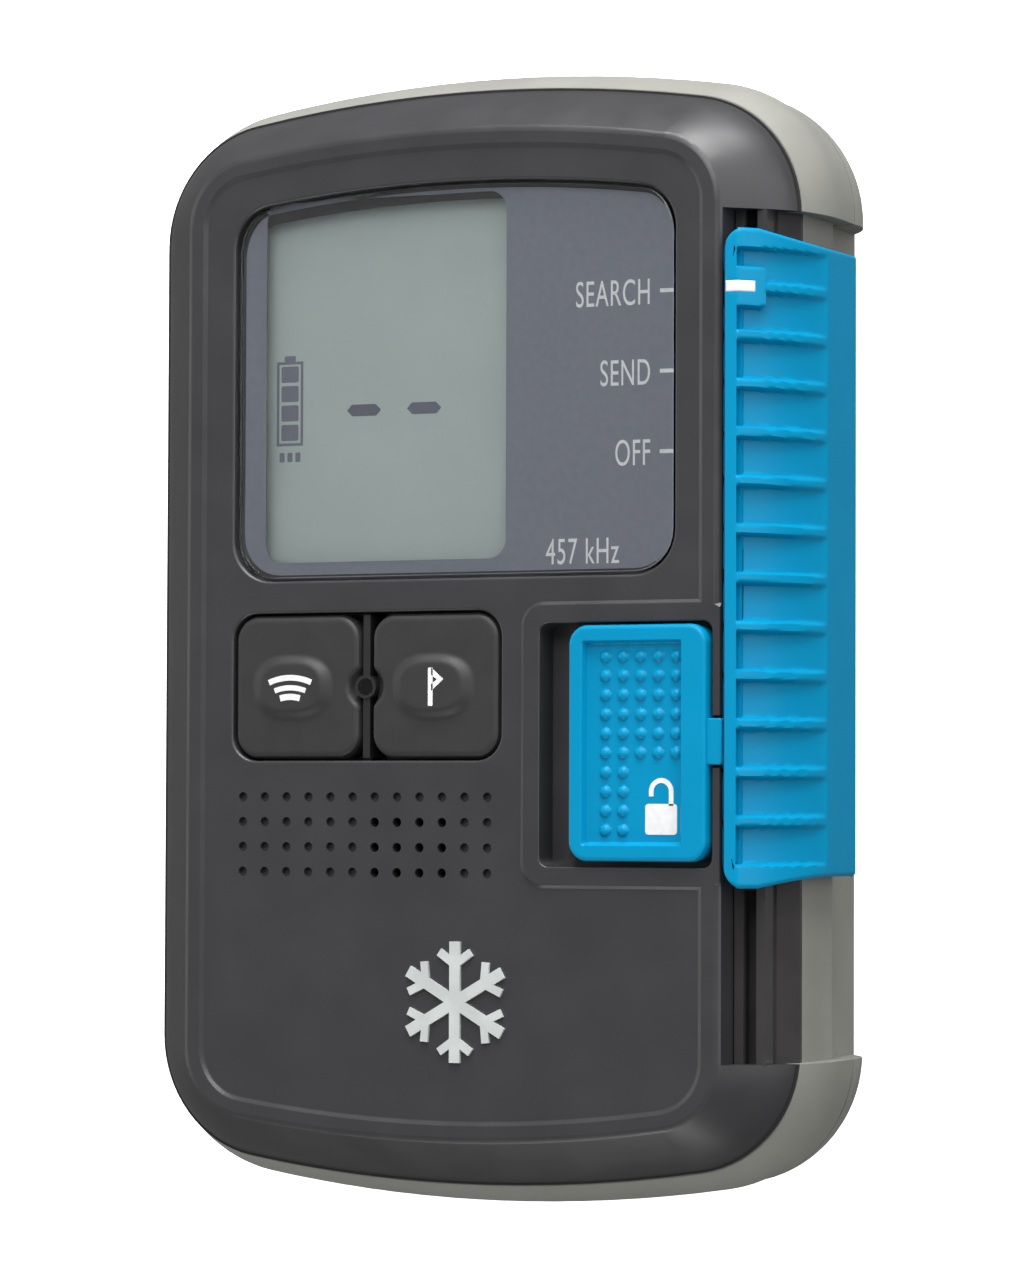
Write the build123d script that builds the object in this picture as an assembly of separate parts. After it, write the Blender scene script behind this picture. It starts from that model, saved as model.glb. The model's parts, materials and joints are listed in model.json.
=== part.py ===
from build123d import *
import os

# Avalanche transceiver, in millimetres.
# It lies on its back: +Z is out of the display, +Y is the top end, +X is the side with the mode slider.
# The origin is the middle of the bounding box, on the rear face.

# ---- case ----
WIDTH = 76.0
LENGTH = 118.0
HEIGHT = 29.0            # rear face to the top of the slider and the lock
SLIDER_PROUD = 1.0       # the slider and the lock stand this far above the front cover
END_ARC_R = 160.0        # the two ends are shallow arcs
CORNER_R = 14.0
WALL = 2.2
GAP = 0.3                # clearance round every moving piece
FACE_Z = HEIGHT - SLIDER_PROUD
TOP_WALL = 3.0           # thickness of the front face
CEILING_Z = FACE_Z - TOP_WALL
REAR_SEAM_Z = 9.2
REAR_SEAL_T = 0.3
WIDEST_Z = 15.0          # height at which the band is widest
FRONT_SEAM_Z = 21.4
FRONT_SEAL_T = 0.5
COVER_Z = FRONT_SEAM_Z + FRONT_SEAL_T
SEAM_INSET_X = 1.1
SEAM_INSET_Y = 2.0
COVER_STEP = 0.4         # the cover's lower edge lies this far inside the band's upper edge
PLATEAU_INSET_X = 7.6
PLATEAU_INSET_Y = 7.0
REAR_INSET = 4.6
REAR_EDGE_INSET = 0.35
SEAL_W = 1.6
PANEL_SINK = 0.25        # the front face lies this far below the rim round it
PANEL_INSET_X = 9.6
PANEL_INSET_Y = 9.0
RIM_SOFTNESS = 0.9
EDGE_SOFTNESS = 0.3
SHOULDER_CURVE = 1.25    # 1 is a straight slope, and more is rounder
CAVITY_INSET = 6.6
BAND_CAVITY_INSET = 3.8
REAR_CAVITY_INSET = 5.7
HALF_W = WIDTH / 2
HALF_L = LENGTH / 2

# ---- channel of the mode slider ----
CHANNEL_X = HALF_W - 7.15      # left wall of the channel
RAIL_X = HALF_W - 3.6          # outer wall of the band behind the slider
CHANNEL_TOP_Y = 42.4
SLIDER_TOP_Y = 40.2
SLIDER_LENGTH = 66.05
SLIDER_TRAVEL = 16.3           # three positions, half of this apart
SLIDER_END_ROOM = 1.35
SLIDER_BOTTOM_Y = SLIDER_TOP_Y - SLIDER_LENGTH
CHANNEL_BOTTOM_Y = SLIDER_BOTTOM_Y - SLIDER_TRAVEL - SLIDER_END_ROOM
SHELF_T = 1.2
LINER_FLOOR_T = 1.1
LINER_SIDE_T = 1.45
RAIL_H = 2.4
RAIL_T = 0.6
LINER_SHOULDER_W = 1.25
LINER_SHOULDER_H = 3.0
SLIDER_X = CHANNEL_X + 0.6
STRIP_W = 1.6
SLIDER_SKIN = 1.5
CREASE_Z = 17.0                # the rounded shoulder ends here, and the flat flange begins
SHOULDER_MID_IN = 1.85         # a point half way round the shoulder, in from the side
SHOULDER_MID_DROP = 4.6        # and down from the top
SCOOP_WALL = 1.2               # depth of a finger scoop at the strip
SCOOP_RUN = 3.1                # from there it runs out over this width
SCOOP_DROP = 3.8               # to this depth
SCOOP_TOP_MARGIN = 1.9
SCOOP_BOTTOM_MARGIN = 2.25
FLANGE_Z = REAR_SEAM_Z + GAP
HOOK_T = 1.1
RIB_PITCH = 4.86
RIB_T = 0.9
RIB_COUNT = 12
FIRST_RIB_Y = SLIDER_TOP_Y - 5.9
INDEX_BLOCK_H = 3.9
INDEX_MARK_H = 1.1
INDEX_MARK_W = 3.4
END_SLANT = 1.2

# ---- lock ----
LOCK_TRAVEL = 2.3
LOCK_W = 15.3
LOCK_TOP_Y = 0.6
LOCK_LENGTH = 23.85
LOCK_CORNER_R = 2.0
BOSS_BORDER = 2.2              # width of the raised border round the lock recess
LOCK_WALL = 0.9                # wall between the lock recess and the channel
LOCK_PLATE_T = 1.2
LOCK_PLATE_REACH = 0.95
LOCK_SLOT = 2.6
RECESS_FLOOR_T = 1.8
TONGUE_W = 4.65
TONGUE_T = 1.4
TONGUE_Y = -11.2
BUMP_PITCH = 1.95
BUMP_R = 0.5
BUMP_H = 0.35
POCKET_DEPTH = 0.8
GRIP_LEFT = 1.55
GRIP_RIGHT = 2.7
GRIP_END = 1.6
GRIP_CORNER_R = 1.6
LOCK_X1 = CHANNEL_X - LOCK_WALL - GAP
LOCK_X0 = LOCK_X1 - LOCK_W
RECESS_X1 = CHANNEL_X - LOCK_WALL
RECESS_X0 = LOCK_X0 - LOCK_PLATE_REACH - LOCK_SLOT
RECESS_Y1 = LOCK_TOP_Y + GAP
LOCK_BOTTOM_Y = LOCK_TOP_Y - LOCK_LENGTH
RECESS_Y0 = LOCK_BOTTOM_Y - 2 * GAP
LOCK_SPRING_R = 1.1
LOCK_SPRING_WIRE = 0.18
LOCK_SPRING_L = 4.6
LOCK_SPRING_TURNS = 7

# ---- display ----
LENS_X0 = -25.1
LENS_X1 = 25.7
LENS_Y0 = 5.7
LENS_Y1 = 46.7
LENS_CORNER_R = 4.5
LENS_SINK = 0.4                # the lens lies this far below the front face
LENS_T = 1.3
LENS_GROOVE = 0.35
LENS_GLUE_T = 0.2
LENS_GLUE_W = 1.5
WINDOW_X0 = -21.9
WINDOW_X1 = 6.2
WINDOW_Y0 = 7.7
WINDOW_Y1 = 45.6
LCD_BORDER = 1.5
LCD_T = 2.2
HOLDER_T = 1.1
BACKLIGHT_T = 1.1
CONTACT_W = 1.6

# ---- keys ----
KEY_PANEL_X0 = -25.1
KEY_PANEL_X1 = 6.3
KEY_PANEL_Y0 = -13.05
KEY_PANEL_Y1 = 2.35
KEY_GAP = 1.4
KEY_CORNER_R = 2.8
KEY_SINK = 0.1
KEY_FLANGE = 0.9
KEY_FLANGE_T = 0.8
KEY_TRAVEL = 0.7
KEY_PLATE_T = 0.8
KEY_STEM_R = 2.0
KEY_PAD_W = 9.3
KEY_PAD_H = 6.4
KEY_PAD_T = 0.6
PIPE_R = 0.9
PIPE_Y = -5.4
SWITCH_H = 3.0
SWITCH_W = 6.0

# ---- speaker ----
GRID_X0 = -23.8
GRID_Y0 = -16.83
GRID_PITCH = 2.6
GRID_COLUMNS = 12
GRID_ROWS = 4
OPEN_COLUMNS = range(6, 10)
OPEN_ROWS = range(1, 4)
DIMPLE_R = 0.5
DIMPLE_DEPTH = 0.6
SPEAKER_X = -4.3
SPEAKER_Y = -22.03
SPEAKER_R = 7.5
SPEAKER_H = 3.8
SPEAKER_WALL = 0.8
MAGNET_R = 3.5

# ---- badge ----
BADGE_X = 1.3
BADGE_Y = -37.8
BADGE_R = 6.2
BADGE_ARM_W = 1.2
BADGE_BARB_W = 0.84
BADGE_BARB_L = 2.2
BADGE_T = 0.35

# ---- electronics ----
BOARD_T = 1.6
BOARD_Z = 18.2                 # component side of the board
BOARD_INSET = 6.2
BOARD_END_INSET = 7.5
BOARD_CORNER_R = 7.0
POST_R = 3.2
CASE_SCREW_X = HALF_W - 9.5
CASE_SCREW_Y = HALF_L - 12.5
SCREW_R = 1.25
SCREW_HEAD_R = 2.2
SCREW_HEAD_H = 2.0
INSERT_R = 2.0
INSERT_H = 6.0
SCREW_REACH = 14.0
BOARD_POST_R = 2.2
BOARD_POST_LEFT_IN = 9.4
BOARD_POST_RIGHT_IN = 12.9
BOARD_SCREW_R = 0.9
BOARD_SCREW_HEAD_R = 1.9
BOARD_SCREW_HEAD_H = 1.2
BOARD_SCREW_REACH = 5.0

# ---- batteries ----
CELL_D = 10.5
CELL_L = 44.5
CELL_COUNT = 3
CELL_PITCH = CELL_D + 0.4
CELL_NUB_R = 1.9
CELL_NUB_L = 0.9
FLOOR_T = 2.2
DOOR_T = 1.2
DOOR_SEAL_T = 0.2
DOOR_LEDGE = 2.0
DOOR_PAD_T = 0.6
DOOR_GAP = 0.25
CELL_SPRING_L = 3.9
CONTACT_T = 0.5
BAY_WALL = 1.4
BAY_BOTTOM_Y = -HALF_L + 10.0
BAY_TOP_Y = BAY_BOTTOM_Y + CELL_L + CELL_SPRING_L + 2 * CONTACT_T
BAY_HALF_W = CELL_COUNT * CELL_PITCH / 2 + 0.25
CELL_Z = DOOR_T + DOOR_SEAL_T + DOOR_PAD_T + 0.1 + CELL_D / 2
BAY_CEILING_Z = CELL_Z + CELL_D / 2 + 0.25
DOOR_TAB_L = 7.6
DOOR_SCREW_HEAD_R = 2.8
DOOR_SCREW_HEAD_H = 0.9
DOOR_BOSS_R = 4.0
DOOR_SCREW_Y = BAY_TOP_Y + DOOR_LEDGE + DOOR_BOSS_R + 0.3
DOOR_SCREW_END_Z = 7.6

# ---- antennas ----
CORE_W = 6.4
CORE_Z = 8.6
COIL_T = 1.3
LONG_CORE_L = 60.0
CROSS_CORE_L = 36.0
UPRIGHT_CORE_H = 9.0
LONG_CORE_X = -HALF_W + 13.2
CROSS_CORE_Y = HALF_L - 14.5
UPRIGHT_X = 21.0
UPRIGHT_Y = 22.0

# ---- vibration motor ----
MOTOR_X = HALF_W - 11.5
MOTOR_Y = -14.0
MOTOR_Z = 7.4
MOTOR_R = 3.0
MOTOR_L = 11.0
MOTOR_SHAFT_R = 0.5
WEIGHT_R = 2.6
WEIGHT_L = 3.2

# ---- lanyard eye ----
EYE_X = -14.0
EYE_W = 9.0
EYE_L = 5.4
EYE_Z0 = 2.0
EYE_Z1 = 8.2
EYE_BORE_R = 1.7
EYE_SIDE_ROOM = 3.0
EYE_EDGE_Y = -HALF_L + 0.9

os.makedirs("parts", exist_ok=True)


def save(node, shape):
    export_step(shape, f"parts/{node}.step")


def block(x0, x1, y0, y1, z0, z1):
    middle = Pos((x0 + x1) / 2, (y0 + y1) / 2, (z0 + z1) / 2)
    return middle * Box(x1 - x0, y1 - y0, z1 - z0)


def rod(x, y, z0, z1, radius):
    return Pos(x, y, (z0 + z1) / 2) * Cylinder(radius, z1 - z0)


def rod_along_x(x0, x1, y, z, radius):
    return Pos((x0 + x1) / 2, y, z) * Rot(0, 90, 0) * Cylinder(radius, x1 - x0)


def rod_along_y(x, y0, y1, z, radius):
    return Pos(x, (y0 + y1) / 2, z) * Rot(90, 0, 0) * Cylinder(radius, y1 - y0)


def plate(face, z0, z1):
    return extrude(Plane.XY.offset(z0) * face, amount=z1 - z0)


def rounded(x0, x1, y0, y1, radius):
    return Pos((x0 + x1) / 2, (y0 + y1) / 2) * RectangleRounded(x1 - x0, y1 - y0, radius)


def arched(x0, x1, y0, y1, corner, arc_bottom=True):
    """A rectangle with its top, and if asked its bottom, bowed to the arc of the case's ends."""
    sag = ((x1 - x0) / 2) ** 2 / (2 * END_ARC_R)
    middle = (x0 + x1) / 2
    low = sag if arc_bottom else 0
    bottom = Line((x1, y0), (x0, y0))
    if arc_bottom:
        bottom = ThreePointArc((x1, y0 + low), (middle, y0), (x0, y0 + low))
    edges = [
        ThreePointArc((x0, y1 - sag), (middle, y1), (x1, y1 - sag)),
        Line((x1, y1 - sag), (x1, y0 + low)),
        bottom,
        Line((x0, y0 + low), (x0, y1 - sag)),
    ]
    face = make_face(edges)
    return fillet(face.vertices(), corner)


def outline(inset_x, inset_y):
    """The case's outline seen from the front, drawn in from its widest line."""
    corner = CORNER_R - min(inset_x, inset_y)
    return arched(-HALF_W + inset_x, HALF_W - inset_x, -HALF_L + inset_y, HALF_L - inset_y, corner)


def stacked(levels):
    """A solid through the case's outline at several heights, each with its own inset."""
    return loft([Plane.XY.offset(z) * outline(dx, dy) for z, dx, dy in levels])


def channel(left_x, room, z0, z1):
    """The space of the slider's channel, from left_x out past the case's side."""
    return block(left_x, HALF_W + 1, CHANNEL_BOTTOM_Y - room, CHANNEL_TOP_Y + room, z0, z1)


def rim_edges(body, z):
    """The outlines of the openings that lie level at height z, other than speaker holes."""
    found = []
    for edge in body.edges():
        box = edge.bounding_box()
        if abs(box.min.Z - z) < 0.01 and abs(box.max.Z - z) < 0.01 and edge.length > 8 * DIMPLE_R:
            found.append(edge)
    return found


def shoulder_levels():
    steps = 4
    levels = []
    for step in range(steps + 1):
        share = step / steps
        rise = share ** SHOULDER_CURVE
        z = COVER_Z + (FACE_Z + PANEL_SINK - COVER_Z) * share
        base_x = SEAM_INSET_X + COVER_STEP
        base_y = SEAM_INSET_Y + COVER_STEP
        dx = base_x + (PLATEAU_INSET_X - base_x) * rise
        dy = base_y + (PLATEAU_INSET_Y - base_y) * rise
        levels.append((z, dx, dy))
    return levels


def band_levels():
    base_z = REAR_SEAM_Z + REAR_SEAL_T
    levels = [(base_z, REAR_EDGE_INSET, REAR_EDGE_INSET), (WIDEST_Z, 0, 0)]
    steps = 3
    for step in range(1, steps + 1):
        share = step / steps
        z = WIDEST_Z + (FRONT_SEAM_Z - WIDEST_Z) * share
        levels.append((z, SEAM_INSET_X * share ** 2, SEAM_INSET_Y * share ** 2))
    return levels


def rear_levels():
    steps = 4
    levels = []
    for step in range(steps + 1):
        share = (step / steps) ** 1.5
        inset = REAR_EDGE_INSET + REAR_INSET * (1 - share) ** 2.2
        levels.append((REAR_SEAM_Z * share, inset, inset))
    return levels


def corners():
    return [(sx * CASE_SCREW_X, sy * CASE_SCREW_Y) for sx in (-1, 1) for sy in (-1, 1)]


def board_posts():
    right_x = LENS_X1 - BOARD_POST_RIGHT_IN
    left_x = -HALF_W + BOARD_POST_LEFT_IN
    return [(left_x, LENS_Y0 - 1.6), (right_x, LENS_Y0 + 0.3), (left_x, -30.0), (right_x, -31.0)]


def key_spans():
    middle = (KEY_PANEL_X0 + KEY_PANEL_X1) / 2
    left = (KEY_PANEL_X0 + DOOR_GAP, middle - KEY_GAP / 2)
    right = (middle + KEY_GAP / 2, KEY_PANEL_X1 - DOOR_GAP)
    return left, right


def lens_face(shrink):
    return arched(
        LENS_X0 + shrink, LENS_X1 - shrink, LENS_Y0 + shrink, LENS_Y1 - shrink,
        LENS_CORNER_R - shrink, arc_bottom=False)


def grid_points():
    for column in range(GRID_COLUMNS):
        for row in range(GRID_ROWS):
            yield column, row, GRID_X0 + column * GRID_PITCH, GRID_Y0 - row * GRID_PITCH


# ---- case pieces ----

def lock_guide_ys():
    quarter = LOCK_LENGTH / 4
    return LOCK_TOP_Y - quarter, LOCK_BOTTOM_Y + quarter


LOCK_FOOT_X1 = LOCK_X1 - 6.0
LOCK_FOOT_L = 4.0
LOCK_FOOT_W = 1.8
LOCK_FOOT_HOOK = 0.6


def front_face(body):
    """Sinks the panel in the front face, opens it for the lens and the keys, and softens their rims."""
    panel = Plane.XY.offset(FACE_Z) * outline(PANEL_INSET_X, PANEL_INSET_Y)
    body -= extrude(panel, amount=1, taper=-60)
    body -= plate(lens_face(0), FACE_Z - LENS_SINK - LENS_T - LENS_GLUE_T, FACE_Z + 1)
    body -= block(
        WINDOW_X0 - 0.7, WINDOW_X1 + 0.7, WINDOW_Y0 - 0.6, WINDOW_Y1 + 0.3, CEILING_Z - 1, FACE_Z - 1)
    body -= plate(
        rounded(KEY_PANEL_X0, KEY_PANEL_X1, KEY_PANEL_Y0, KEY_PANEL_Y1, KEY_CORNER_R),
        CEILING_Z - 1, FACE_Z + 1)
    return fillet(rim_edges(body, FACE_Z), EDGE_SOFTNESS)


def lock_recess(body):
    """Adds the raised border round the lock, and sinks the lock's recess into it."""
    boss = rounded(
        RECESS_X0 - BOSS_BORDER, CHANNEL_X + 1, RECESS_Y0 - BOSS_BORDER, RECESS_Y1 + BOSS_BORDER, 2.5)
    body += extrude(Plane.XY.offset(FACE_Z) * boss, amount=PANEL_SINK, taper=55)
    body -= channel(CHANNEL_X, 0, COVER_Z - 1, HEIGHT + 1)
    recess = rounded(RECESS_X0, RECESS_X1, RECESS_Y0, RECESS_Y1, LOCK_CORNER_R / 2)
    body -= plate(recess, CEILING_Z, FACE_Z + 1)
    body = fillet(rim_edges(body, FACE_Z + PANEL_SINK), EDGE_SOFTNESS * 0.6)
    body -= block(
        RECESS_X1 - 1, CHANNEL_X + 1, TONGUE_Y - TONGUE_W / 2 - GAP, TONGUE_Y + TONGUE_W / 2 + GAP,
        FACE_Z - TONGUE_T + GAP, FACE_Z + 1)
    for y in lock_guide_ys():
        body -= block(
            LOCK_FOOT_X1 - LOCK_FOOT_L - LOCK_TRAVEL - GAP, LOCK_FOOT_X1 + GAP,
            y - LOCK_FOOT_W / 2 - GAP, y + LOCK_FOOT_W / 2 + GAP,
            CEILING_Z - RECESS_FLOOR_T - 1, CEILING_Z + 1)
    return body


def front_cover():
    body = stacked(shoulder_levels())
    body = fillet(body.edges().group_by(Axis.Z)[-1], RIM_SOFTNESS)
    body = front_face(body)
    lower = plate(outline(BAND_CAVITY_INSET, BAND_CAVITY_INSET), COVER_Z - 1, COVER_Z + 1.4)
    upper = plate(outline(CAVITY_INSET, CAVITY_INSET), COVER_Z - 1, CEILING_Z)
    wall = channel(CHANNEL_X - WALL, WALL, COVER_Z - 2, CEILING_Z + 1)
    tray = block(
        RECESS_X0 - WALL, CHANNEL_X, RECESS_Y0 - WALL, RECESS_Y1 + WALL,
        CEILING_Z - RECESS_FLOOR_T, CEILING_Z)
    body -= lower + upper - wall - tray
    body = lock_recess(body)
    for x, y in corners():
        body += rod(x, y, REAR_SEAM_Z + REAR_SEAL_T, CEILING_Z, POST_R)
        body -= rod(x, y, REAR_SEAM_Z, REAR_SEAM_Z + REAR_SEAL_T + INSERT_H, INSERT_R)
    for x, y in board_posts():
        body += rod(x, y, BOARD_Z, CEILING_Z, BOARD_POST_R)
        body -= rod(x, y, BOARD_Z - 1, BOARD_Z + BOARD_SCREW_REACH, BOARD_SCREW_R)
    for column, row, x, y in grid_points():
        is_open = column in OPEN_COLUMNS and row in OPEN_ROWS
        bottom = CEILING_Z - 1 if is_open else FACE_Z - DIMPLE_DEPTH
        body -= rod(x, y, bottom, FACE_Z + 1, DIMPLE_R)
    return body


def mid_band():
    base_z = REAR_SEAM_Z + REAR_SEAL_T
    body = stacked(band_levels())
    body -= channel(RAIL_X, 0, 0, SIDE_WALL_Z0)
    body -= channel(LINER_X1, 0, 0, HEIGHT)
    body -= channel(RAIL_X, 0, SIDE_WALL_Z1, HEIGHT)
    hollow = plate(outline(BAND_CAVITY_INSET, BAND_CAVITY_INSET), 0, HEIGHT)
    hollow -= channel(RAIL_X - WALL, WALL, -1, HEIGHT + 1)
    hollow -= channel(CHANNEL_X - WALL, WALL, FRONT_SEAM_Z - SHELF_T, FRONT_SEAM_Z + 1)
    body -= hollow
    for x, y in corners():
        body -= rod(x, y, base_z - 1, FRONT_SEAM_Z + 1, POST_R + GAP)
    return body


def rear_cover():
    outer = stacked(rear_levels()) - channel(RAIL_X, 0, -1, HEIGHT)
    body = outer - plate(outline(REAR_CAVITY_INSET, REAR_CAVITY_INSET), FLOOR_T, REAR_SEAM_Z + 1)
    bay_outer = block(
        -BAY_HALF_W - BAY_WALL, BAY_HALF_W + BAY_WALL, BAY_BOTTOM_Y - BAY_WALL, BAY_TOP_Y + BAY_WALL,
        FLOOR_T / 2, BAY_CEILING_Z + BAY_WALL)
    notch_x0 = EYE_X - EYE_W / 2 - EYE_SIDE_ROOM
    notch_x1 = EYE_X + EYE_W / 2 + EYE_SIDE_ROOM
    notch_y = EYE_EDGE_Y + EYE_L
    notch_walls = block(
        notch_x0 - WALL, notch_x1 + WALL, -HALF_L, notch_y + WALL / 2, FLOOR_T / 2, REAR_SEAM_Z)
    body += bay_outer
    body += notch_walls & outer
    body += rod(0, DOOR_SCREW_Y, FLOOR_T / 2, DOOR_SCREW_END_Z + 1.4, DOOR_BOSS_R + WALL)
    for x, y in corners():
        body += rod(x, y, FLOOR_T / 2, REAR_SEAM_Z, POST_R) & outer
    recess_top = DOOR_T + DOOR_SEAL_T
    body -= plate(door_face(DOOR_GAP), -1, recess_top)
    body -= block(-BAY_HALF_W, BAY_HALF_W, BAY_BOTTOM_Y, BAY_TOP_Y, 0, BAY_CEILING_Z)
    body -= rod(0, DOOR_SCREW_Y, 0, recess_top + DOOR_T + GAP, DOOR_BOSS_R + GAP)
    body -= rod(0, DOOR_SCREW_Y, 0, DOOR_SCREW_END_Z + GAP, INSERT_R)
    body -= block(notch_x0, notch_x1, -HALF_L - 1, notch_y, -1, REAR_SEAM_Z - 0.4)
    for x, y in corners():
        body -= rod(x, y, -1, SCREW_HEAD_H + 0.6, SCREW_HEAD_R + 0.2)
        body -= rod(x, y, 0, REAR_SEAM_Z + 1, SCREW_R + 0.2)
    return body


def front_seal():
    ring = plate(outline(SEAM_INSET_X + 0.15, SEAM_INSET_Y + 0.15), FRONT_SEAM_Z, COVER_Z)
    hollow = plate(outline(SEAM_INSET_X + SEAL_W, SEAM_INSET_Y + SEAL_W), 0, HEIGHT)
    hollow -= channel(CHANNEL_X - SEAL_W, SEAL_W, -1, HEIGHT + 1)
    ring -= channel(CHANNEL_X, 0, 0, HEIGHT)
    for x, y in corners():
        ring -= rod(x, y, 0, HEIGHT, POST_R)
    return ring - hollow


def rear_seal():
    top_z = REAR_SEAM_Z + REAR_SEAL_T
    inset = REAR_EDGE_INSET + 0.25
    ring = plate(outline(inset, inset), REAR_SEAM_Z, top_z)
    hollow = plate(outline(inset + SEAL_W, inset + SEAL_W), 0, HEIGHT)
    hollow -= channel(RAIL_X - SEAL_W, SEAL_W, -1, HEIGHT + 1)
    ring -= channel(RAIL_X, 0, 0, HEIGHT)
    return ring - hollow


def case_screws():
    head_top = SCREW_HEAD_H + 0.6
    screws = []
    for x, y in corners():
        screw = rod(x, y, head_top - SCREW_HEAD_H, head_top, SCREW_HEAD_R)
        screw += rod(x, y, head_top, SCREW_REACH, SCREW_R)
        screw -= Pos(x, y, head_top - SCREW_HEAD_H) * extrude(RegularPolygon(1.2, 6), amount=1.2)
        screws.append(screw)
    return Compound(children=screws)


def case_inserts():
    bottom = REAR_SEAM_Z + REAR_SEAL_T
    rings = []
    for x, y in corners():
        ring = rod(x, y, bottom, bottom + INSERT_H, INSERT_R)
        rings.append(ring - rod(x, y, bottom - 1, bottom + INSERT_H + 1, SCREW_R))
    return Compound(children=rings)


def lanyard_eye():
    x0 = EYE_X - EYE_W / 2
    x1 = EYE_X + EYE_W / 2
    y1 = EYE_EDGE_Y + EYE_L
    middle_z = (EYE_Z0 + EYE_Z1) / 2
    bore_y = EYE_EDGE_Y + (EYE_Z1 - EYE_Z0) / 2
    body = block(x0, x1, EYE_EDGE_Y, y1, EYE_Z0, EYE_Z1)
    rim = body.edges().filter_by(Axis.X).group_by(Axis.Y)[0]
    body = fillet(rim, 2.2)
    return body - rod_along_x(x0 - 1, x1 + 1, bore_y, middle_z, EYE_BORE_R)


# ---- batteries and their door ----

def door_face(grow):
    base = rounded(
        -BAY_HALF_W - DOOR_LEDGE - grow, BAY_HALF_W + DOOR_LEDGE + grow,
        BAY_BOTTOM_Y - DOOR_LEDGE - grow, BAY_TOP_Y + DOOR_LEDGE + grow, 1.5 + grow)
    tab = rounded(
        -DOOR_TAB_L - grow, DOOR_TAB_L + grow,
        BAY_TOP_Y - DOOR_LEDGE, DOOR_SCREW_Y + DOOR_BOSS_R + 1 + grow, 1.5 + grow)
    return base + tab


def battery_door():
    body = plate(door_face(0), 0, DOOR_T)
    body += block(
        -BAY_HALF_W + GAP, BAY_HALF_W - GAP, BAY_BOTTOM_Y + GAP, BAY_TOP_Y - GAP,
        DOOR_T, DOOR_T + DOOR_SEAL_T + DOOR_PAD_T)
    body += rod(0, DOOR_SCREW_Y, DOOR_T, 2 * DOOR_T + DOOR_SEAL_T, DOOR_BOSS_R)
    body -= rod(0, DOOR_SCREW_Y, -1, DOOR_SCREW_HEAD_H + 0.5, DOOR_SCREW_HEAD_R + 0.2)
    body -= rod(0, DOOR_SCREW_Y, 0, 3 * DOOR_T, SCREW_R + 0.1)
    return body


def door_seal():
    z1 = DOOR_T + DOOR_SEAL_T
    ring = plate(
        rounded(-BAY_HALF_W - DOOR_LEDGE + 0.3, BAY_HALF_W + DOOR_LEDGE - 0.3,
                BAY_BOTTOM_Y - DOOR_LEDGE + 0.3, BAY_TOP_Y + DOOR_LEDGE - 0.3, 1.2), DOOR_T, z1)
    return ring - block(-BAY_HALF_W, BAY_HALF_W, BAY_BOTTOM_Y, BAY_TOP_Y, 0, z1 + 1)


def door_screw():
    head_z = 0.3
    body = rod(0, DOOR_SCREW_Y, head_z, head_z + DOOR_SCREW_HEAD_H, DOOR_SCREW_HEAD_R)
    body += rod(0, DOOR_SCREW_Y, head_z + DOOR_SCREW_HEAD_H, DOOR_SCREW_END_Z, SCREW_R)
    slot = block(
        -DOOR_SCREW_HEAD_R, DOOR_SCREW_HEAD_R, DOOR_SCREW_Y - 0.5, DOOR_SCREW_Y + 0.5, 0, head_z + 0.5)
    return body - slot


def door_insert():
    z0 = 2 * DOOR_T + DOOR_SEAL_T + GAP
    ring = rod(0, DOOR_SCREW_Y, z0, DOOR_SCREW_END_Z, INSERT_R)
    return ring - rod(0, DOOR_SCREW_Y, z0 - 1, DOOR_SCREW_END_Z + 1, SCREW_R + 0.05)


def cell_places():
    """The middle of each cell, and which end its spring is on: -1 is the bottom end of the bay."""
    for index in range(CELL_COUNT):
        x = (index - (CELL_COUNT - 1) / 2) * CELL_PITCH
        yield index, x, -1 if index % 2 == 0 else 1


def cell(x, spring_end):
    y0 = BAY_BOTTOM_Y + CONTACT_T
    if spring_end < 0:
        y0 += CELL_SPRING_L
    y1 = y0 + CELL_L
    if spring_end < 0:
        can = rod_along_y(x, y0, y1 - CELL_NUB_L, CELL_Z, CELL_D / 2)
        return can + rod_along_y(x, y1 - CELL_NUB_L, y1, CELL_Z, CELL_NUB_R)
    can = rod_along_y(x, y0 + CELL_NUB_L, y1, CELL_Z, CELL_D / 2)
    return can + rod_along_y(x, y0, y0 + CELL_NUB_L, CELL_Z, CELL_NUB_R)


def coil(length, radius, wire, turns):
    """A spring standing on the origin along +Z."""
    path = Helix(pitch=(length - 2 * wire) / turns, height=length - 2 * wire, radius=radius - wire)
    start = Plane(origin=path @ 0, z_dir=path % 0)
    return Pos(0, 0, wire) * sweep(start * Circle(wire), path=path, is_frenet=True)


def battery_springs():
    springs = []
    for index, x, spring_end in cell_places():
        y = BAY_BOTTOM_Y + CONTACT_T if spring_end < 0 else BAY_TOP_Y - CONTACT_T
        turn = Rot(-90, 0, 0) if spring_end < 0 else Rot(90, 0, 0)
        springs.append(Pos(x, y, CELL_Z) * turn * coil(CELL_SPRING_L - 0.02, 3.0, 0.3, 3))
    return Compound(children=springs)


def battery_plates():
    plates = []
    half = CELL_D / 2 - 1
    low = CELL_Z - half
    high = CELL_Z + half
    for y0 in (BAY_BOTTOM_Y, BAY_TOP_Y - CONTACT_T):
        for index, x, spring_end in cell_places():
            plates.append(block(x - half, x + half, y0, y0 + CONTACT_T, low, high))
    return Compound(children=plates)


# ---- display pieces ----

LENS_BOTTOM_Z = FACE_Z - LENS_SINK - LENS_T
LCD_TOP_Z = CEILING_Z - 0.1
LCD_X0 = WINDOW_X0 - LCD_BORDER
LCD_X1 = WINDOW_X1 + LCD_BORDER
LCD_Y0 = WINDOW_Y0 - LCD_BORDER
LCD_Y1 = WINDOW_Y1 + LCD_BORDER


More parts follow.
